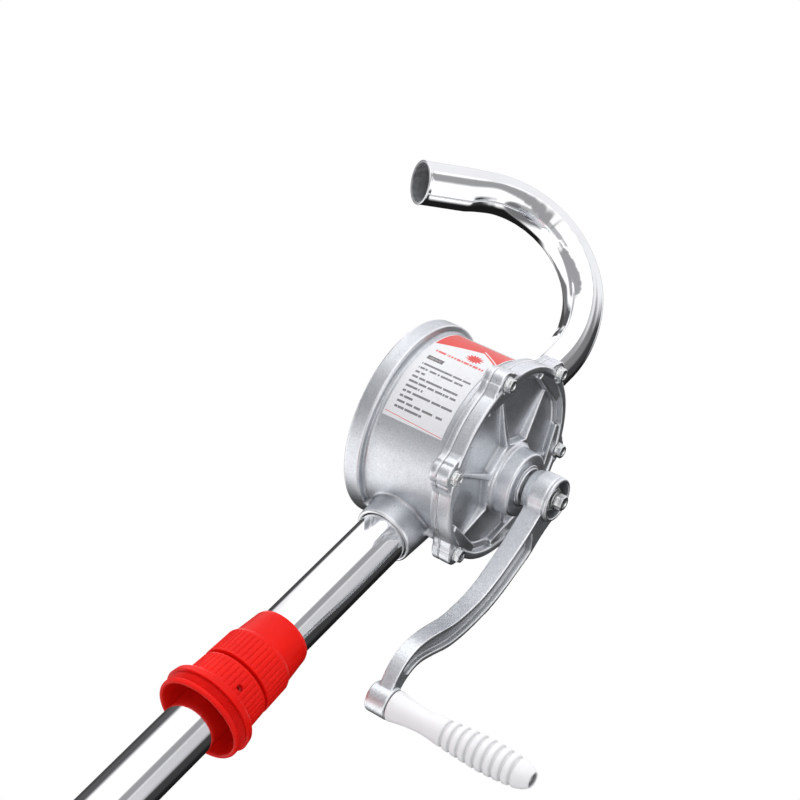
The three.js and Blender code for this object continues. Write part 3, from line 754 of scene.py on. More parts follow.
# ------------------------------------------------------------------ gland nut
GLAND_PROFILE = [  # [radius, y, corner radius], a closed ring
    (7.5, -57.4, 0.3), (11.4, -57.4, 0.2), (11.6, -58.0, 0.3), (12.7, -58.0, 0.3),
    (12.9, -57.0, 0.2), (13.9, -56.7, 0.3), (14.35, -56.15, 0.2), (13.95, -56.1, 0.2),
    (13.9, -49.6, 0.3), (7.5, -49.6, 0.2), (7.5, -57.4, 0.3),
]
gland = turned(fillet(GLAND_PROFILE, 0.2, 3, 0.15), centre=SHAFT_AXIS)
place(gland, "gland_nut", "pump", GLAND_METAL)

# ------------------------------------------------------------------ crank arm
# the arm's edges, [x, z]: the left one downward, the right one upward
ARM_LEFT = [
    (-6.5, 7), (-13.0, -8), (-8.2, -18), (-1.2, -33), (5.0, -50), (9.3, -66), (11.0, -81),
    (9.8, -96), (7.2, -108), (2.2, -121), (-1.6, -132), (-3.6, -142), (-2.9, -152),
    (0.8, -161), (8.5, -171),
]
ARM_RIGHT = [
    (20.5, -178), (17.5, -166), (12.9, -158), (10.5, -150), (11.0, -141.5), (14.6, -132),
    (19.2, -122), (23.4, -111), (26.2, -97), (27.3, -82), (26.8, -68), (24.6, -54.5),
    (21.2, -42), (16.6, -27.5), (9.5, -12), (4, 7),
]
# the arm from the side, [y, z]: it thins from the hub to the grip
ARM_SIDE = [(-76.6, 10), (-63.6, 10), (-63.6, -30), (-65.9, -185), (-74.9, -185), (-76.6, -30)]
EDGE_POINTS = 70
LEFT_SPAN, RIGHT_SPAN = (0.19, 0.93), (0.14, 0.84)  # the channels' share of each edge

CRANK_HUB = [  # [radius, y, corner radius], back to front
    (0, -59.8), (11.8, -59.8), (13.1, -60.8, 0.8), (13.8, -63.2, 0.6), (14.0, -64.4, 0.4),
    (14.8, -66.0, 1.0), (14.85, -76.6, 0.3), (14.2, -77.1, 0.3), (14.8, -77.7, 0.3),
    (14.7, -79.2, 0.6), (13.7, -80.0, 0.5), (0, -80.0),
]
GRIP_BOSS = [
    (0, -62.2), (9.0, -62.2, 0.8), (9.9, -63.2, 0.8), (10.15, -76.3, 0.4), (9.9, -76.7, 0.2),
    (0, -76.7),
]
HUB_RECESS = [  # leaves a raised seat round the shaft
    (0, -81), (12.5, -81), (11.9, -72.4, 0.6), (7.4, -72.4, 0.5), (7.2, -77.35, 0.3),
    (0, -77.35),
]
SQUARE_HALF = 5.3


def inset(edge, distance, span):
    """Part of an edge, moved into the arm."""
    moved = []
    for i in range(int(EDGE_POINTS * span[0]), int(EDGE_POINTS * span[1])):
        (x0, z0), (x1, z1) = edge[i - 1], edge[i + 1]
        length = math.hypot(x1 - x0, z1 - z0)
        x, z = edge[i]
        moved.append((x - (z1 - z0) / length * distance, z + (x1 - x0) / length * distance))
    return moved


def extrapolate(mouth, floor, beyond):
    """Carries a channel's sloping walls past its mouth by a share of their run."""
    return [
        (x * (1 + beyond) - floor_x * beyond, z * (1 + beyond) - floor_z * beyond)
        for (x, z), (floor_x, floor_z) in zip(mouth, floor)
    ]


def crank_arm():
    left, right = spline(ARM_LEFT, EDGE_POINTS), spline(ARM_RIGHT, EDGE_POINTS)
    arm = prism(left + right, -80, left + right, -60)
    side = loft([(-60, y, z) for y, z in ARM_SIDE], [(60, y, z) for y, z in ARM_SIDE])
    boolean(arm, side, "INTERSECT")
    # a channel in the front and one in the back, both narrower at their floors
    mouth = inset(left, 2.3, LEFT_SPAN) + inset(right, 2.3, RIGHT_SPAN)
    floor = inset(left, 3.5, LEFT_SPAN) + inset(right, 3.5, RIGHT_SPAN)
    front_mouth = extrapolate(mouth, floor, 0.6)
    boolean(arm, prism(front_mouth, -80.0, floor, -72.0), "DIFFERENCE")
    back_mouth = extrapolate(mouth, floor, 0.4)
    boolean(arm, prism(floor, -67.8, back_mouth, -60), "DIFFERENCE")
    adds = [
        turned(fillet(CRANK_HUB), centre=SHAFT_AXIS, segments=128),
        turned(fillet(GRIP_BOSS), centre=GRIP_AXIS),
    ]
    cuts = [
        turned(fillet(HUB_RECESS), centre=SHAFT_AXIS),
        box(SHAFT_X - SQUARE_HALF, SHAFT_X + SQUARE_HALF, -79, -57, -SQUARE_HALF, SQUARE_HALF),
        disc(3.3, -80, -60, "Y", GRIP_AXIS, 48),
    ]
    carve(arm, adds, cuts)
    return remesh(arm, voxel=0.5, smoothing=3)


place(crank_arm(), "crank_arm", "crank", CRANK_METAL)

WASHER_PROFILE = [
    (3.4, -78.9, 0.2), (6.6, -78.9, 0.3), (6.6, -77.5, 0.3), (3.4, -77.5, 0.2),
    (3.4, -78.9, 0.2),
]
washer = turned(fillet(WASHER_PROFILE, 0.2, 3, 0.15), centre=SHAFT_AXIS, segments=64)
place(washer, "crank_washer", "crank", ZINC)
crank_bolt = hex_bolt(
    SHAFT_AXIS, flats=9.2, top=-84.7, flange=-79.5, seat=-79.2,
    flange_radius=4.9, shank_radius=3.0, end=-66.0, turn=17,
)
place(crank_bolt, "crank_bolt", "crank", ZINC)

# ------------------------------------------------------------------ grip
GRIP_BACK = -77.5
GRIP_LENGTH = 98.6
GRIP_END = GRIP_BACK - GRIP_LENGTH
GRIP_STATIONS = [  # [distance forward from the grip's back end, radius]
    (0.8, 10.0), (12, 8.1), (24, 7.5), (36, 8.7), (52, 10.1), (67, 10.7), (82, 10.0),
    (90.5, 8.9), (94.4, 7.7), (96.8, 6.3), (98.2, 5.1), (98.6, 4.7),
]
GROOVES = [39 + 6 * i for i in range(9)]
GROOVE_HALF, GROOVE_DEPTH = 1.8, 1.6


def grip_radius(distance):
    """The ungrooved radius: a smooth curve through the stations, straight lines past 90 mm."""
    places, radii = zip(*GRIP_STATIONS)
    last = len(places) - 1
    k = min(np.searchsorted(places, distance, side="right") - 1, last - 1)
    run = places[k + 1] - places[k]
    t = (distance - places[k]) / run
    if distance > 90:
        return radii[k] + (radii[k + 1] - radii[k]) * t
    slopes = []
    for j in (k, k + 1):
        before, after = max(j - 1, 0), min(j + 1, last)
        slopes.append((radii[after] - radii[before]) / (places[after] - places[before]))
    return (
        (2 * t**3 - 3 * t**2 + 1) * radii[k]
        + (t**3 - 2 * t**2 + t) * run * slopes[0]
        + (-2 * t**3 + 3 * t**2) * radii[k + 1]
        + (t**3 - t**2) * run * slopes[1]
    )


def grip():
    profile = []
    coarse, fine, tip = np.arange(1.6, 36, 1.2), np.arange(36, 91.0, 0.3), np.arange(91, 98.7, 0.7)
    for distance in np.r_[0, 0.25, 0.8, coarse, fine, tip, GRIP_LENGTH]:
        if distance < 0.3:  # broken edge at the back end
            radius = 9.5 + distance * 1.2
        else:
            radius = grip_radius(min(distance, GRIP_LENGTH))
        for groove in GROOVES:
            off = abs(distance - groove)
            if off < GROOVE_HALF:
                wave = 0.5 + 0.5 * math.cos(math.pi * off / GROOVE_HALF)
                radius -= GROOVE_DEPTH * wave**0.8
        profile.append((radius, GRIP_BACK - distance))
    # the screw recess in the front end and the bore back through the grip
    profile += [
        (4.45, GRIP_END - 0.05), (4.25, GRIP_END + 0.2), (4.2, GRIP_END + 1.0),
        (4.2, GRIP_END + 5.0), (3.5, GRIP_END + 5.1), (3.5, GRIP_BACK - 0.5),
        (3.6, GRIP_BACK), (9.3, GRIP_BACK), (9.5, GRIP_BACK),
    ]
    return turned(profile, centre=GRIP_AXIS)


place(grip(), "grip", "handle_grip", WHITE_PLASTIC)

SCREW_PROFILE = [  # [radius, y, corner radius], front to back
    (0, -174.5), (2.6, -174.5, 0.5), (3.9, -173.6, 0.4), (3.9, -171.6, 0.3),
    (2.9, -171.4, 0.2), (2.9, -63.0, 0.4), (0, -63.0),
]


def grip_screw():
    screw = turned(fillet(SCREW_PROFILE, 0.2, 3, 0.2), centre=GRIP_AXIS, segments=48)
    slot = box(GRIP_X - 0.75, GRIP_X + 0.75, -180, -173.2, GRIP_Z - 6, GRIP_Z + 6)
    return boolean(screw, slot, "DIFFERENCE")


place(grip_screw(), "grip_screw", "crank", ZINC)

# ------------------------------------------------------------------ suction tube
TUBE_INNER, TUBE_OUTER = 15.5, 17.0
TUBE_PIECES = [  # name, top z, bottom z
    ("suction_tube_upper", -60.0, -374.85),
    ("suction_tube_middle", -375.15, -674.85),
    ("suction_tube_lower", -675.15, -975.0),
]
for tube_name, top, bottom in TUBE_PIECES:
    tube_profile = [
        (TUBE_INNER, top, 0.3), (TUBE_OUTER, top, 0.45), (TUBE_OUTER, bottom, 0.45),
        (TUBE_INNER, bottom, 0.3), (TUBE_INNER, top, 0.3),
    ]
    tube = turned(fillet(tube_profile, 0.3, 3), "Z", segments=160)
    place(tube, tube_name, "pump", TUBE_CHROME)

# ------------------------------------------------------------------ bung adapter
RIB_COUNT = 42
RIB_DEPTH = 0.6
RIB_OUTER = 26.0  # ribs lie on the walls inside this radius
VENT_Z, VENT_ANGLE = -237.0, -138.4

ADAPTER_OUTER = [  # [radius, z, corner radius], downward
    (17.45, -209.0, 0.2), (20.9, -209.0, 0.4), (20.9, -224.9, 0.2), (22.8, -224.9, 0.3),
    (23.9, -225.1, 0.5), (24.3, -226.4, 0.5), (25.4, -243.0, 0.7), (27.6, -244.0, 0.8),
    (29.3, -244.2, 0.7), (30.1, -245.2, 0.7), (30.8, -249.3, 0.7),
]
THREAD_TOP, THREAD_PITCH, THREAD_TURNS = -249.75, 1.08, 5
THREAD_FORM = [  # [radius, depth below the turn's top]
    (28.25, 0), (28.3, 0.16), (28.82, 0.42), (28.95, 0.56), (28.82, 0.70), (28.3, 0.96),
]
ADAPTER_LIP = [
    (28.3, -255.15), (28.9, -255.3), (29.25, -255.7), (29.3, -256.4), (29.2, -257.5),
    (28.8, -258.2), (28.2, -258.6), (27.4, -258.6), (26.8, -258.3), (26.4, -257.6),
]
ADAPTER_INNER = [  # upward
    (25.9, -255.0), (24.6, -242.0), (24.2, -240.6), (23.0, -239.4), (19.0, -234.8),
    (17.8, -233.6), (17.45, -232.6), (17.45, -210.0), (17.45, -209.0),
]
NUT_OUTER = [  # [radius, z, corner radius], downward
    (17.6, -179.5, 0.3), (18.0, -178.75, 0.4), (18.9, -178.9, 0.5), (19.8, -181.2, 0.9),
    (21.9, -200.2, 1.0), (22.9, -201.6, 0.8), (23.6, -203.2, 0.9), (24.4, -223.0, 0.5),
    (21.3, -223.0, 0.3),
]
NUT_INNER = [
    (21.3, -202.8), (21.0, -202.5), (17.45, -202.5), (17.45, -180.0), (17.6, -179.5),
]


def ribbed_ring(outer, rest, dense_from, ribs_from, top, bottom, fade):
    """A ring with rounded grip ribs and narrow grooves between them.

    Long edges outside dense_from are cut in 14; radii above ribs_from are ribbed from top
    to bottom, fading at both ends.
    """
    outline = fillet(outer, 0.3, 4, 0.2)
    profile = []
    for start, end in zip(outline, outline[1:]):
        profile.append(start)
        on_wall = all(dense_from < radius < RIB_OUTER for radius in (start[0], end[0]))
        if on_wall and abs(start[1] - end[1]) > 2:
            for k in range(1, 14):
                t = k / 14
                radius, z = (start[j] + (end[j] - start[j]) * t for j in (0, 1))
                profile.append((radius, z))
    profile.append(outline[-1])

    def shape(radius, height, angles):
        if not ribs_from < radius < RIB_OUTER:
            return np.full(len(angles), radius)
        turn = (angles * RIB_COUNT / (2 * math.pi)) % 1.0
        off = np.abs(turn - 0.5) * 2  # 0 in the groove, 1 on the rib
        groove = np.clip(1 - off / 0.42, 0, 1)
        groove = groove * groove * (3 - 2 * groove)
        crown = 0.16 * (1 - off) ** 2
        strength = np.clip(min((top - height) / fade, (height - bottom) / fade), 0, 1)
        return radius - RIB_DEPTH * strength * (groove + crown)

    return turned(profile + rest, "Z", segments=RIB_COUNT * 10, shape=shape)


def vent_hole():
    """The cutter for a hole through the adapter's wall, its outer edge broken."""
    profile = [(0, -14), (2.1, -14), (2.1, 9.2), (3.0, 10.8), (3.0, 14), (0, 14)]
    hole = turned(profile, "Z", segments=40)
    # back to the frame's origin, laid along x, moved out, swung round and lifted into place
    for step in (
        Matrix.Translation((0, -ORIGIN_Y * MM, -ORIGIN_Z * MM)),
        Matrix.Rotation(math.radians(90), 4, "Y"),
        Matrix.Translation((16.2 * MM, 0, 0)),
        Matrix.Rotation(math.radians(VENT_ANGLE), 4, "Z"),
        Matrix.Translation((0, ORIGIN_Y * MM, (ORIGIN_Z + VENT_Z) * MM)),
    ):
        hole.data.transform(step)
    return hole


def adapter_body():
    thread = [(30.4, -249.5), (28.7, -249.5)]
    for i in range(THREAD_TURNS):
        turn_top = THREAD_TOP - THREAD_PITCH * i
        thread += [(radius, turn_top - depth) for radius, depth in THREAD_FORM]
    body = ribbed_ring(
        ADAPTER_OUTER, thread + ADAPTER_LIP + ADAPTER_INNER,
        dense_from=23.5, ribs_from=23.8, top=-226.4, bottom=-242.0, fade=1.6,
    )
    return boolean(body, vent_hole(), "DIFFERENCE")


place(adapter_body(), "adapter_body", "bung_adapter", RED_PLASTIC)

clamp_nut = ribbed_ring(
    NUT_OUTER, NUT_INNER, dense_from=23.2, ribs_from=23.3, top=-203.6, bottom=-222.6, fade=1.4
)
place(clamp_nut, "adapter_clamp_nut", "clamp_nut", RED_PLASTIC)

# ------------------------------------------------------------------ spout
# It rises from the upper neck, then bends over toward the back left and down.
SPOUT_YAW = math.radians(123.7)
SPOUT_RADIUS, SPOUT_WALL = 14.45, 1.4
SPOUT_START_Z = 60.2
SPOUT_RISE = 120.6 - SPOUT_START_Z
SPOUT_BENDS = [(94.5, 0.56), (65.5, 1.814)]  # [bend radius, radians]
SPOUT_LENGTH = SPOUT_RISE + sum(radius * angle for radius, angle in SPOUT_BENDS) + 52.3
SPOUT_SEGMENTS = 112


def spout_at(distance):
    """Reach, height and lean of the centre line at a distance along it."""
    step = min(distance, SPOUT_RISE)
    reach, z, lean = 0.0, SPOUT_START_Z + step, 0.0
    distance -= step
    for radius, angle in SPOUT_BENDS:
        if distance <= 0:
            return reach, z, lean
        step = min(distance / radius, angle)
        reach += radius * (math.cos(lean) - math.cos(lean + step))
        z += radius * (math.sin(lean + step) - math.sin(lean))
        lean += step
        distance -= step * radius
    if distance > 0:
        reach += math.sin(lean) * distance
        z += math.cos(lean) * distance
    return reach, z, lean


def bell(value, centre, width):
    return np.exp(-(((value - centre) / width) ** 2))


def ramp(value, start, end):
    t = min(max((value - start) / (end - start), 0), 1)
    return t * t * (3 - 2 * t)


def between(value, rise, fall):
    return ramp(value, *rise) * (1 - ramp(value, *fall))


def spout_swell(s, angles):
    """How far the wall stands off a true tube at distance s, for angles from the outer side."""
    off_inner = np.abs(angles - math.pi)  # 0 on the inner side of the bend
    bend = between(s, rise=(62, 92), fall=(236, 250))
    # swaged wider at the outlet; flattened on the bend's inner side, less so on its outer
    swell = 0.8 * ramp(s, 222, 252)
    swell = swell - 1.25 * bend * bell(off_inner, 0, 0.85)
    swell = swell - 0.25 * bend * bell(off_inner, math.pi, 0.9)
    swell = swell + 0.3 * bend * np.sin(angles) ** 2
    # shallow folds across the inner side at each end of the bend: depth, place, length, spread
    for depth, fold, length, spread in (
        (-0.34, 74.0, 3.2, 0.62), (0.24, 81.5, 3.4, 0.7), (-0.35, 243.0, 3.5, 0.6)
    ):
        swell = swell + depth * bell(s, fold, length) * bell(off_inner, 0, spread)
    # faint ripples beside the inner side: height, rise, fall, pitch, skew, centre, spread
    skew_wave = 0.6 * np.cos(2 * angles + 0.07 * s) + 0.4 * np.sin(3 * angles - 0.05 * s)
    for height, rise, fall, pitch, skew, centre, spread in (
        (0.040, (105, 130), (195, 222), 9.3, 1.7, 0.95, 0.55),
        (0.014, (85, 110), (205, 232), 3.7, 2.6, 0.9, 0.45),
    ):
        ripple = np.sin(2 * math.pi * s / pitch + skew * skew_wave)
        swell = swell + height * between(s, rise, fall) * ripple * bell(off_inner, centre, spread)
    return swell


def spout():
    angles = np.arange(SPOUT_SEGMENTS) * 2 * math.pi / SPOUT_SEGMENTS  # 0 outside the bend
    forward = np.array([math.cos(SPOUT_YAW), math.sin(SPOUT_YAW), 0])
    sideways = np.array([-math.sin(SPOUT_YAW), math.cos(SPOUT_YAW), 0])
    upward = np.array([0, 0, 1])
    end = SPOUT_LENGTH
    stations = np.r_[0, 0.3, 0.8, np.arange(2, end - 1.0, 1.2), end - 0.8, end - 0.3, end]
    outer, inner = [], []
    for s in stations:
        reach, z, lean = spout_at(s)
        centre = reach * forward + z * upward
        outward = -(math.cos(lean) * forward - math.sin(lean) * upward)
        swell = spout_swell(s, angles)
        lip = 0.0  # rounds the wall at both ends
        if s in (stations[0], stations[-1]):
            lip = 0.25
        elif s in (stations[1], stations[-2]):
            lip = 0.06
        flare = 0.35 * ramp(s, end - 2.2, end - 0.9)  # thickens the wall at the outlet
        circle = np.cos(angles)[:, None] * outward + np.sin(angles)[:, None] * sideways
        outer_radii = SPOUT_RADIUS + swell - lip + flare
        inner_radii = SPOUT_RADIUS - SPOUT_WALL + swell + lip - flare
        outer += [tuple(point) for point in centre + outer_radii[:, None] * circle]
        inner += [tuple(point) for point in centre + inner_radii[:, None] * circle]
    count, offset = SPOUT_SEGMENTS, len(outer)
    faces = []
    for ring in range(0, offset - count, count):
        above = ring + count
        for j in range(count):
            k = (j + 1) % count
            faces.append((ring + j, ring + k, above + k, above + j))
            faces.append(tuple(offset + i for i in (ring + j, above + j, above + k, ring + k)))
    for ring in (0, offset - count):
        for j in range(count):
            k = (j + 1) % count
            faces.append((ring + j, offset + ring + j, offset + ring + k, ring + k))
    part = solid(outer + inner, faces)
    bore = part.data.attributes.new("bore", "FLOAT", "POINT")
    bore.data.foreach_set("value", np.r_[np.zeros(offset), np.ones(offset)])
    return part


place(spout(), "spout", "discharge_spout", SPOUT_CHROME)

# ------------------------------------------------------------------ label
# Film on the barrel's left side. Its UV map holds millimetres: (y + 50) / 100 and the
# distance round the barrel from the top edge / 100.
LABEL_OUTER, LABEL_INNER = 61.95, 61.74
LABEL_ANGLES = np.radians(np.linspace(142.0, 225.4, 64))
LABEL_YS = np.linspace(22.0, -23.0, 24)
PRINT_FRONT, PRINT_BACK = -22.2, 21.2  # the print's ends in y
TEXT_TOP, TEXT_PITCH, TEXT_HALF, TEXT_BACK = 49.2, 3.68, 0.74, 16.6
TEXT_FRONTS = [-19.9, -17.1, 9.5, -17.5, -18.5, 4.0, -20.4, 7.0, -17.3, -3.6]  # y, row by row


def label_print():
    """White film with a red header, a starburst, a grey box and rows of plain grey bars."""
    mat = Surface("label_print")
    coordinates = mat.node("ShaderNodeUVMap", uv_map="label_mm").outputs[0]
    split = mat.node("ShaderNodeSeparateXYZ")
    mat.put(split.inputs[0], coordinates)
    along = mat.subtract(mat.multiply(split.outputs[0], 100.0), 50.0)  # y in mm
    down = mat.multiply(split.outputs[1], 100.0)  # mm from the top edge
    soft = (-0.09, 0.09)  # half width of a printed edge, mm

    def below(value, limit):
        return mat.remap(mat.subtract(limit, value), across=soft)

    def above(value, limit):
        return mat.remap(mat.subtract(value, limit), across=soft)

    def patch(front, back, top, bottom):
        return mat.all_of(
            above(along, front), below(along, back), above(down, top), below(down, bottom)
        )

    def slope(gradient):
        """A sloping line through the header's corner, 7.8 forward and 15.9 down."""
        return mat.add(mat.multiply(mat.add(along, 7.8), gradient), 15.9)

    def words(scale, threshold):
        """Breaks a bar into words, with narrow lighter ticks between letters."""
        row = mat.math("FLOOR", mat.multiply(mat.subtract(down, 47.4), 1 / TEXT_PITCH))
        position = mat.node("ShaderNodeCombineXYZ")
        mat.put(position.inputs[0], mat.multiply(along, 0.55))
        mat.put(position.inputs[1], mat.multiply(row, 3.7))
        noise = mat.node("ShaderNodeTexNoise", noise_dimensions="2D")
        mat.put(noise.inputs["Vector"], position.outputs[0])
        mat.put(noise.inputs["Scale"], scale)
        mat.put(noise.inputs["Detail"], 0.0)
        gaps = mat.remap(noise.outputs[0], across=(threshold, threshold + 0.03))
        tick = mat.math("PINGPONG", mat.multiply(along, 1.35), 0.5)
        return mat.multiply(gaps, mat.remap(tick, across=(0.03, 0.16), to=(0.45, 1.0)))

    # red header: two sloping edges meeting at a corner, crossed by a white slash
    back_line, front_line = slope(0.43), slope(-0.716)
    front_part = mat.all_of(below(down, front_line), below(along, -7.8))
    header = mat.any_of(below(down, back_line), front_part)
    header = mat.all_of(
        header, above(down, 0.8), below(along, PRINT_BACK), above(along, PRINT_FRONT)
    )
    off_slash = mat.math("ABSOLUTE", mat.add(mat.subtract(down, front_line), 2.2))
    slash = mat.all_of(below(off_slash, 0.55), below(along, -6.5))
    header = mat.all_of(header, mat.subtract(1.0, slash))

    # starburst of 13 points, centred 8.2 forward and 27.6 down, squashed top to bottom
    star_x, star_y = mat.add(along, 8.2), mat.subtract(down, 27.6)
    angle = mat.math("ARCTAN2", star_y, star_x)
    squashed = mat.multiply(mat.multiply(star_y, star_y), 1.7)
    radius = mat.math("SQRT", mat.add(mat.multiply(star_x, star_x), squashed))
    points = mat.multiply(mat.add(angle, 10.0), 13.0 / (2 * math.pi))
    saw = mat.math("PINGPONG", points, 0.5)
    star = below(radius, mat.add(mat.multiply(saw, 5.6), 3.7))

    rows = []
    for k, front in enumerate(TEXT_FRONTS):
        middle = TEXT_TOP + TEXT_PITCH * k
        rows.append(patch(front, TEXT_BACK, middle - TEXT_HALF, middle + TEXT_HALF))
    text = mat.all_of(mat.any_of(*rows), words(scale=1.0, threshold=0.30))
    subtitle_bar = patch(front=-19.5, back=16.0, top=33.9, bottom=35.9)
    subtitle = mat.all_of(subtitle_bar, words(scale=1.7, threshold=0.36))
    badge = patch(front=5.0, back=16.8, top=41.2, bottom=44.6)
    badge_bar = patch(front=6.2, back=15.6, top=42.3, bottom=43.5)
    # thin sloping line under the text
    rule_line = mat.add(mat.multiply(mat.subtract(PRINT_BACK, along), 0.045), 87.2)
    off_rule = mat.math("ABSOLUTE", mat.subtract(down, rule_line))
    rule = mat.all_of(
        below(off_rule, 0.22), below(along, PRINT_BACK), above(along, PRINT_FRONT)
    )

    fibre = mat.noise(scale=600, detail=3.0, rough=0.6)
    fibre_tone = mat.remap(fibre, across=(0.35, 0.65))
    paper = mat.mix(fibre_tone, (0.86, 0.865, 0.88), (0.82, 0.825, 0.845))
    wash = mat.noise(scale=40)
    wash_tone = mat.remap(wash, across=(0.35, 0.65))
    red = mat.mix(wash_tone, (0.80, 0.045, 0.035), (0.74, 0.09, 0.075))
    color = mat.mix(header, paper, red)
    for mask, ink in (
        (star, red),
        (subtitle, (0.80, 0.09, 0.075)),
        (badge, (0.17, 0.16, 0.17)),
        (mat.all_of(badge_bar, words(scale=2.0, threshold=0.4)), (0.45, 0.42, 0.42)),
        (text, (0.15, 0.145, 0.155)),
        (rule, (0.80, 0.16, 0.14)),
    ):
        color = mat.mix(mask, color, ink)
    roughness = mat.remap(wash, across=(0.35, 0.65), to=(0.26, 0.40))
    return mat.finish(color, roughness, mat.bump(fibre, distance=0.00001, strength=0.5))


def label():
    rows, columns = len(LABEL_ANGLES), len(LABEL_YS)
    vertices, uvs = [], []
    for radius in (LABEL_OUTER, LABEL_INNER):
        for angle in LABEL_ANGLES:
            for y in LABEL_YS:
                x, z = BARREL_X + radius * math.cos(angle), radius * math.sin(angle)
                vertices.append((x, y, z))
                uvs.append(((y + 50) / 100, (angle - LABEL_ANGLES[0]) * LABEL_OUTER / 100))
    inner = rows * columns
    faces = []
    for i in range(rows - 1):
        for j in range(columns - 1):
            corner = i * columns + j
            face = (corner, corner + 1, corner + columns + 1, corner + columns)
            faces.append(face)
            faces.append(tuple(inner + index for index in reversed(face)))
    for i in range(rows - 1):
        for j in (0, columns - 1):
            start, end = i * columns + j, (i + 1) * columns + j
            faces.append((start, end, inner + end, inner + start))
    for j in range(columns - 1):
        for i in (0, rows - 1):
            start = i * columns + j
            faces.append((start, start + 1, inner + start + 1, inner + start))
    part = solid(vertices, faces)
    layer = part.data.uv_layers.new(name="label_mm")
    for loop in part.data.loops:
        layer.data[loop.index].uv = uvs[loop.vertex_index]
    return part


label_part = label()
place(label_part, "label", "pump", label_print())
for polygon in label_part.data.polygons:
    polygon.use_smooth = False


# ------------------------------------------------------------------ floor
def floor_paint():
    mat = Surface("floor_paint")
    patches = mat.remap(mat.noise(scale=3.0, detail=3.0), across=(0.3, 0.7))
    color = mat.mix(patches, (0.90, 0.90, 0.90), (0.87, 0.87, 0.875))
    normal = mat.bump(mat.noise(scale=400), distance=0.00005, strength=0.3)
    return mat.finish(color, 0.65, normal)


FLOOR_HALF = 60.0
floor_z = cad_lo.z - 0.0004
floor_mesh = bpy.data.meshes.new("floor")
floor_corners = [
    (x * FLOOR_HALF, y * FLOOR_HALF, floor_z) for x, y in ((-1, -1), (1, -1), (1, 1), (-1, 1))
]
floor_mesh.from_pydata(floor_corners, [], [(0, 1, 2, 3)])
floor = bpy.data.objects.new("floor", floor_mesh)
scene.collection.objects.link(floor)
floor.data.materials.append(floor_paint())
floor.visible_glossy = False


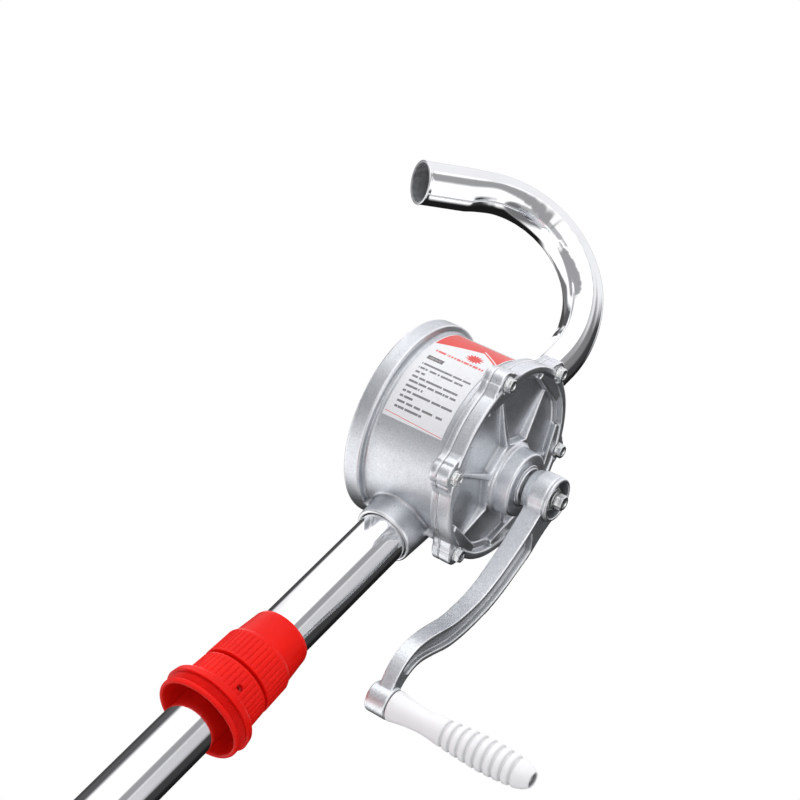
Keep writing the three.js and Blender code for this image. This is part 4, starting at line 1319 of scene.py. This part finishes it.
# ------------------------------------------------------------------ light
def studio_world():
    """A pale cove all round with soft-edged darker cards, seen as plain white by the camera."""
    world = bpy.data.worlds.new("studio")
    scene.world = world
    world.use_nodes = True
    world.node_tree.nodes.clear()
    sky = Nodes(world.node_tree)

    split = sky.node("ShaderNodeSeparateXYZ")
    sky.put(split.inputs[0], sky.node("ShaderNodeTexCoord").outputs["Generated"])
    x, y, z = split.outputs
    to_degrees = 180 / math.pi
    # azimuth runs from +X toward +Y; turned by 120, its seam lies clear of +X
    azimuth = sky.add(sky.multiply(sky.math("ARCTAN2", y, x), to_degrees), 720.0)
    azimuth = sky.math("MODULO", azimuth, 360.0)
    turned_azimuth = sky.math("MODULO", sky.add(azimuth, 120.0), 360.0)
    elevation = sky.multiply(sky.math("ARCSINE", z), to_degrees)

    def window(value, low, high, low_soft, high_soft):
        rise = sky.remap(value, across=(low - low_soft, low + low_soft), smooth=True)
        fall = sky.remap(value, across=(high - high_soft, high + high_soft), smooth=True)
        return sky.multiply(rise, sky.subtract(1.0, fall))

    def card(under, mask, height_mask, value):
        return sky.mix(sky.multiply(mask, height_mask), under, (value, value, value * 1.03))

    cove = (0.56, 0.56, 0.565)
    color = sky.mix(0.0, cove, cove)
    overhead = sky.remap(elevation, across=(40, 48), smooth=True)
    color = card(color, overhead, 1.0, value=0.405)
    # azimuth kind, then azimuth and elevation windows as (from, to, softness at each end)
    # in degrees, then brightness; later cards cover earlier ones
    for direction, sideways, upward, value in (
        (azimuth, (96, 168, 5, 6), (-62, 1, 6, 4), 0.16),
        (azimuth, (181, 262, 8, 8), (-66, -34, 7, 6), 0.22),
        (azimuth, (243, 284, 4, 6), (18, 47, 10, 6), 0.27),
        (azimuth, (214, 241, 4, 6), (-60, 44, 6, 5), 0.155),
        (azimuth, (238, 300, 8, 10), (37.5, 58, 1.5, 6), 0.095),
        (azimuth, (40, 92, 4, 9), (18, 35.5, 4, 2.5), 0.030),
        (azimuth, (80, 122, 5, 12), (10, 29.5, 4, 2.5), 0.045),
        (turned_azimuth, (20, 130, 14, 14), (-78, -28, 8, 4), 0.085),
        (azimuth, (44, 84, 5, 6), (-8, 20, 4, 4), 0.08),
        (turned_azimuth, (44, 105, 10, 4), (-12, 63, 4, 6), 0.021),
        (turned_azimuth, (90, 160, 12, 5), (-29, 49, 5, 6), 0.005),
    ):
        color = card(color, window(direction, *sideways), window(elevation, *upward), value)

    # strength 2.4; diffuse rays get 1.4 from below, rising to 2.8 above the horizon
    rays = sky.node("ShaderNodeLightPath")
    height = sky.remap(elevation, across=(-75, 5), smooth=True)
    diffuse_change = sky.subtract(sky.multiply(height, 1.4), 1.0)
    diffuse_change = sky.multiply(rays.outputs["Is Diffuse Ray"], diffuse_change)
    lit = sky.node("ShaderNodeBackground")
    sky.put(lit.inputs[0], color)
    sky.put(lit.inputs[1], sky.add(2.4, diffuse_change))
    white = sky.node("ShaderNodeBackground")
    sky.put(white.inputs[0], (1, 1, 1))
    sky.put(white.inputs[1], 1.0)
    either = sky.node("ShaderNodeMixShader")
    sky.put(either.inputs[0], rays.outputs["Is Camera Ray"])
    sky.put(either.inputs[1], lit.outputs[0])
    sky.put(either.inputs[2], white.outputs[0])
    sky.put(sky.node("ShaderNodeOutputWorld").inputs[0], either.outputs[0])


def key_light():
    """A weak square light high on the left, hidden from reflections and the camera."""
    place_at, target = Vector((-2.2, 0.6, 1.2)), Vector((0, 0, 0.1))
    light = bpy.data.lights.new("key", "AREA")
    light.shape = "SQUARE"
    light.size = 1.6
    light.energy = 6
    key = bpy.data.objects.new("key", light)
    scene.collection.objects.link(key)
    key.location = place_at
    key.rotation_euler = (target - place_at).to_track_quat("-Z", "Y").to_euler()
    key.visible_glossy = False
    key.visible_camera = False


studio_world()
key_light()


# ------------------------------------------------------------------ camera
def add_camera():
    """A long lens at the front left, looking up at the pump with the picture rolled."""
    camera = bpy.data.cameras.new("camera")
    camera.sensor_width = 36.0
    camera.lens = 103.501
    camera.clip_start, camera.clip_end = 0.05, 60
    holder = bpy.data.objects.new("camera", camera)
    scene.collection.objects.link(holder)
    right = (0.03249459, -0.80738216, 0.58913339)
    up = (-0.74295169, 0.37477253, 0.55458844)
    backward = (-0.66855583, -0.45571877, -0.58766786)
    pose = Matrix((right, up, backward)).transposed().to_4x4()
    pose.translation = Vector((-1.02491, -0.63264 + ORIGIN_Y * MM, -0.62007))
    holder.matrix_world = pose
    scene.camera = holder


add_camera()

scene.view_settings.view_transform = "Standard"
scene.view_settings.look = "None"
scene.view_settings.exposure = 0.0
scene.view_settings.gamma = 1.0
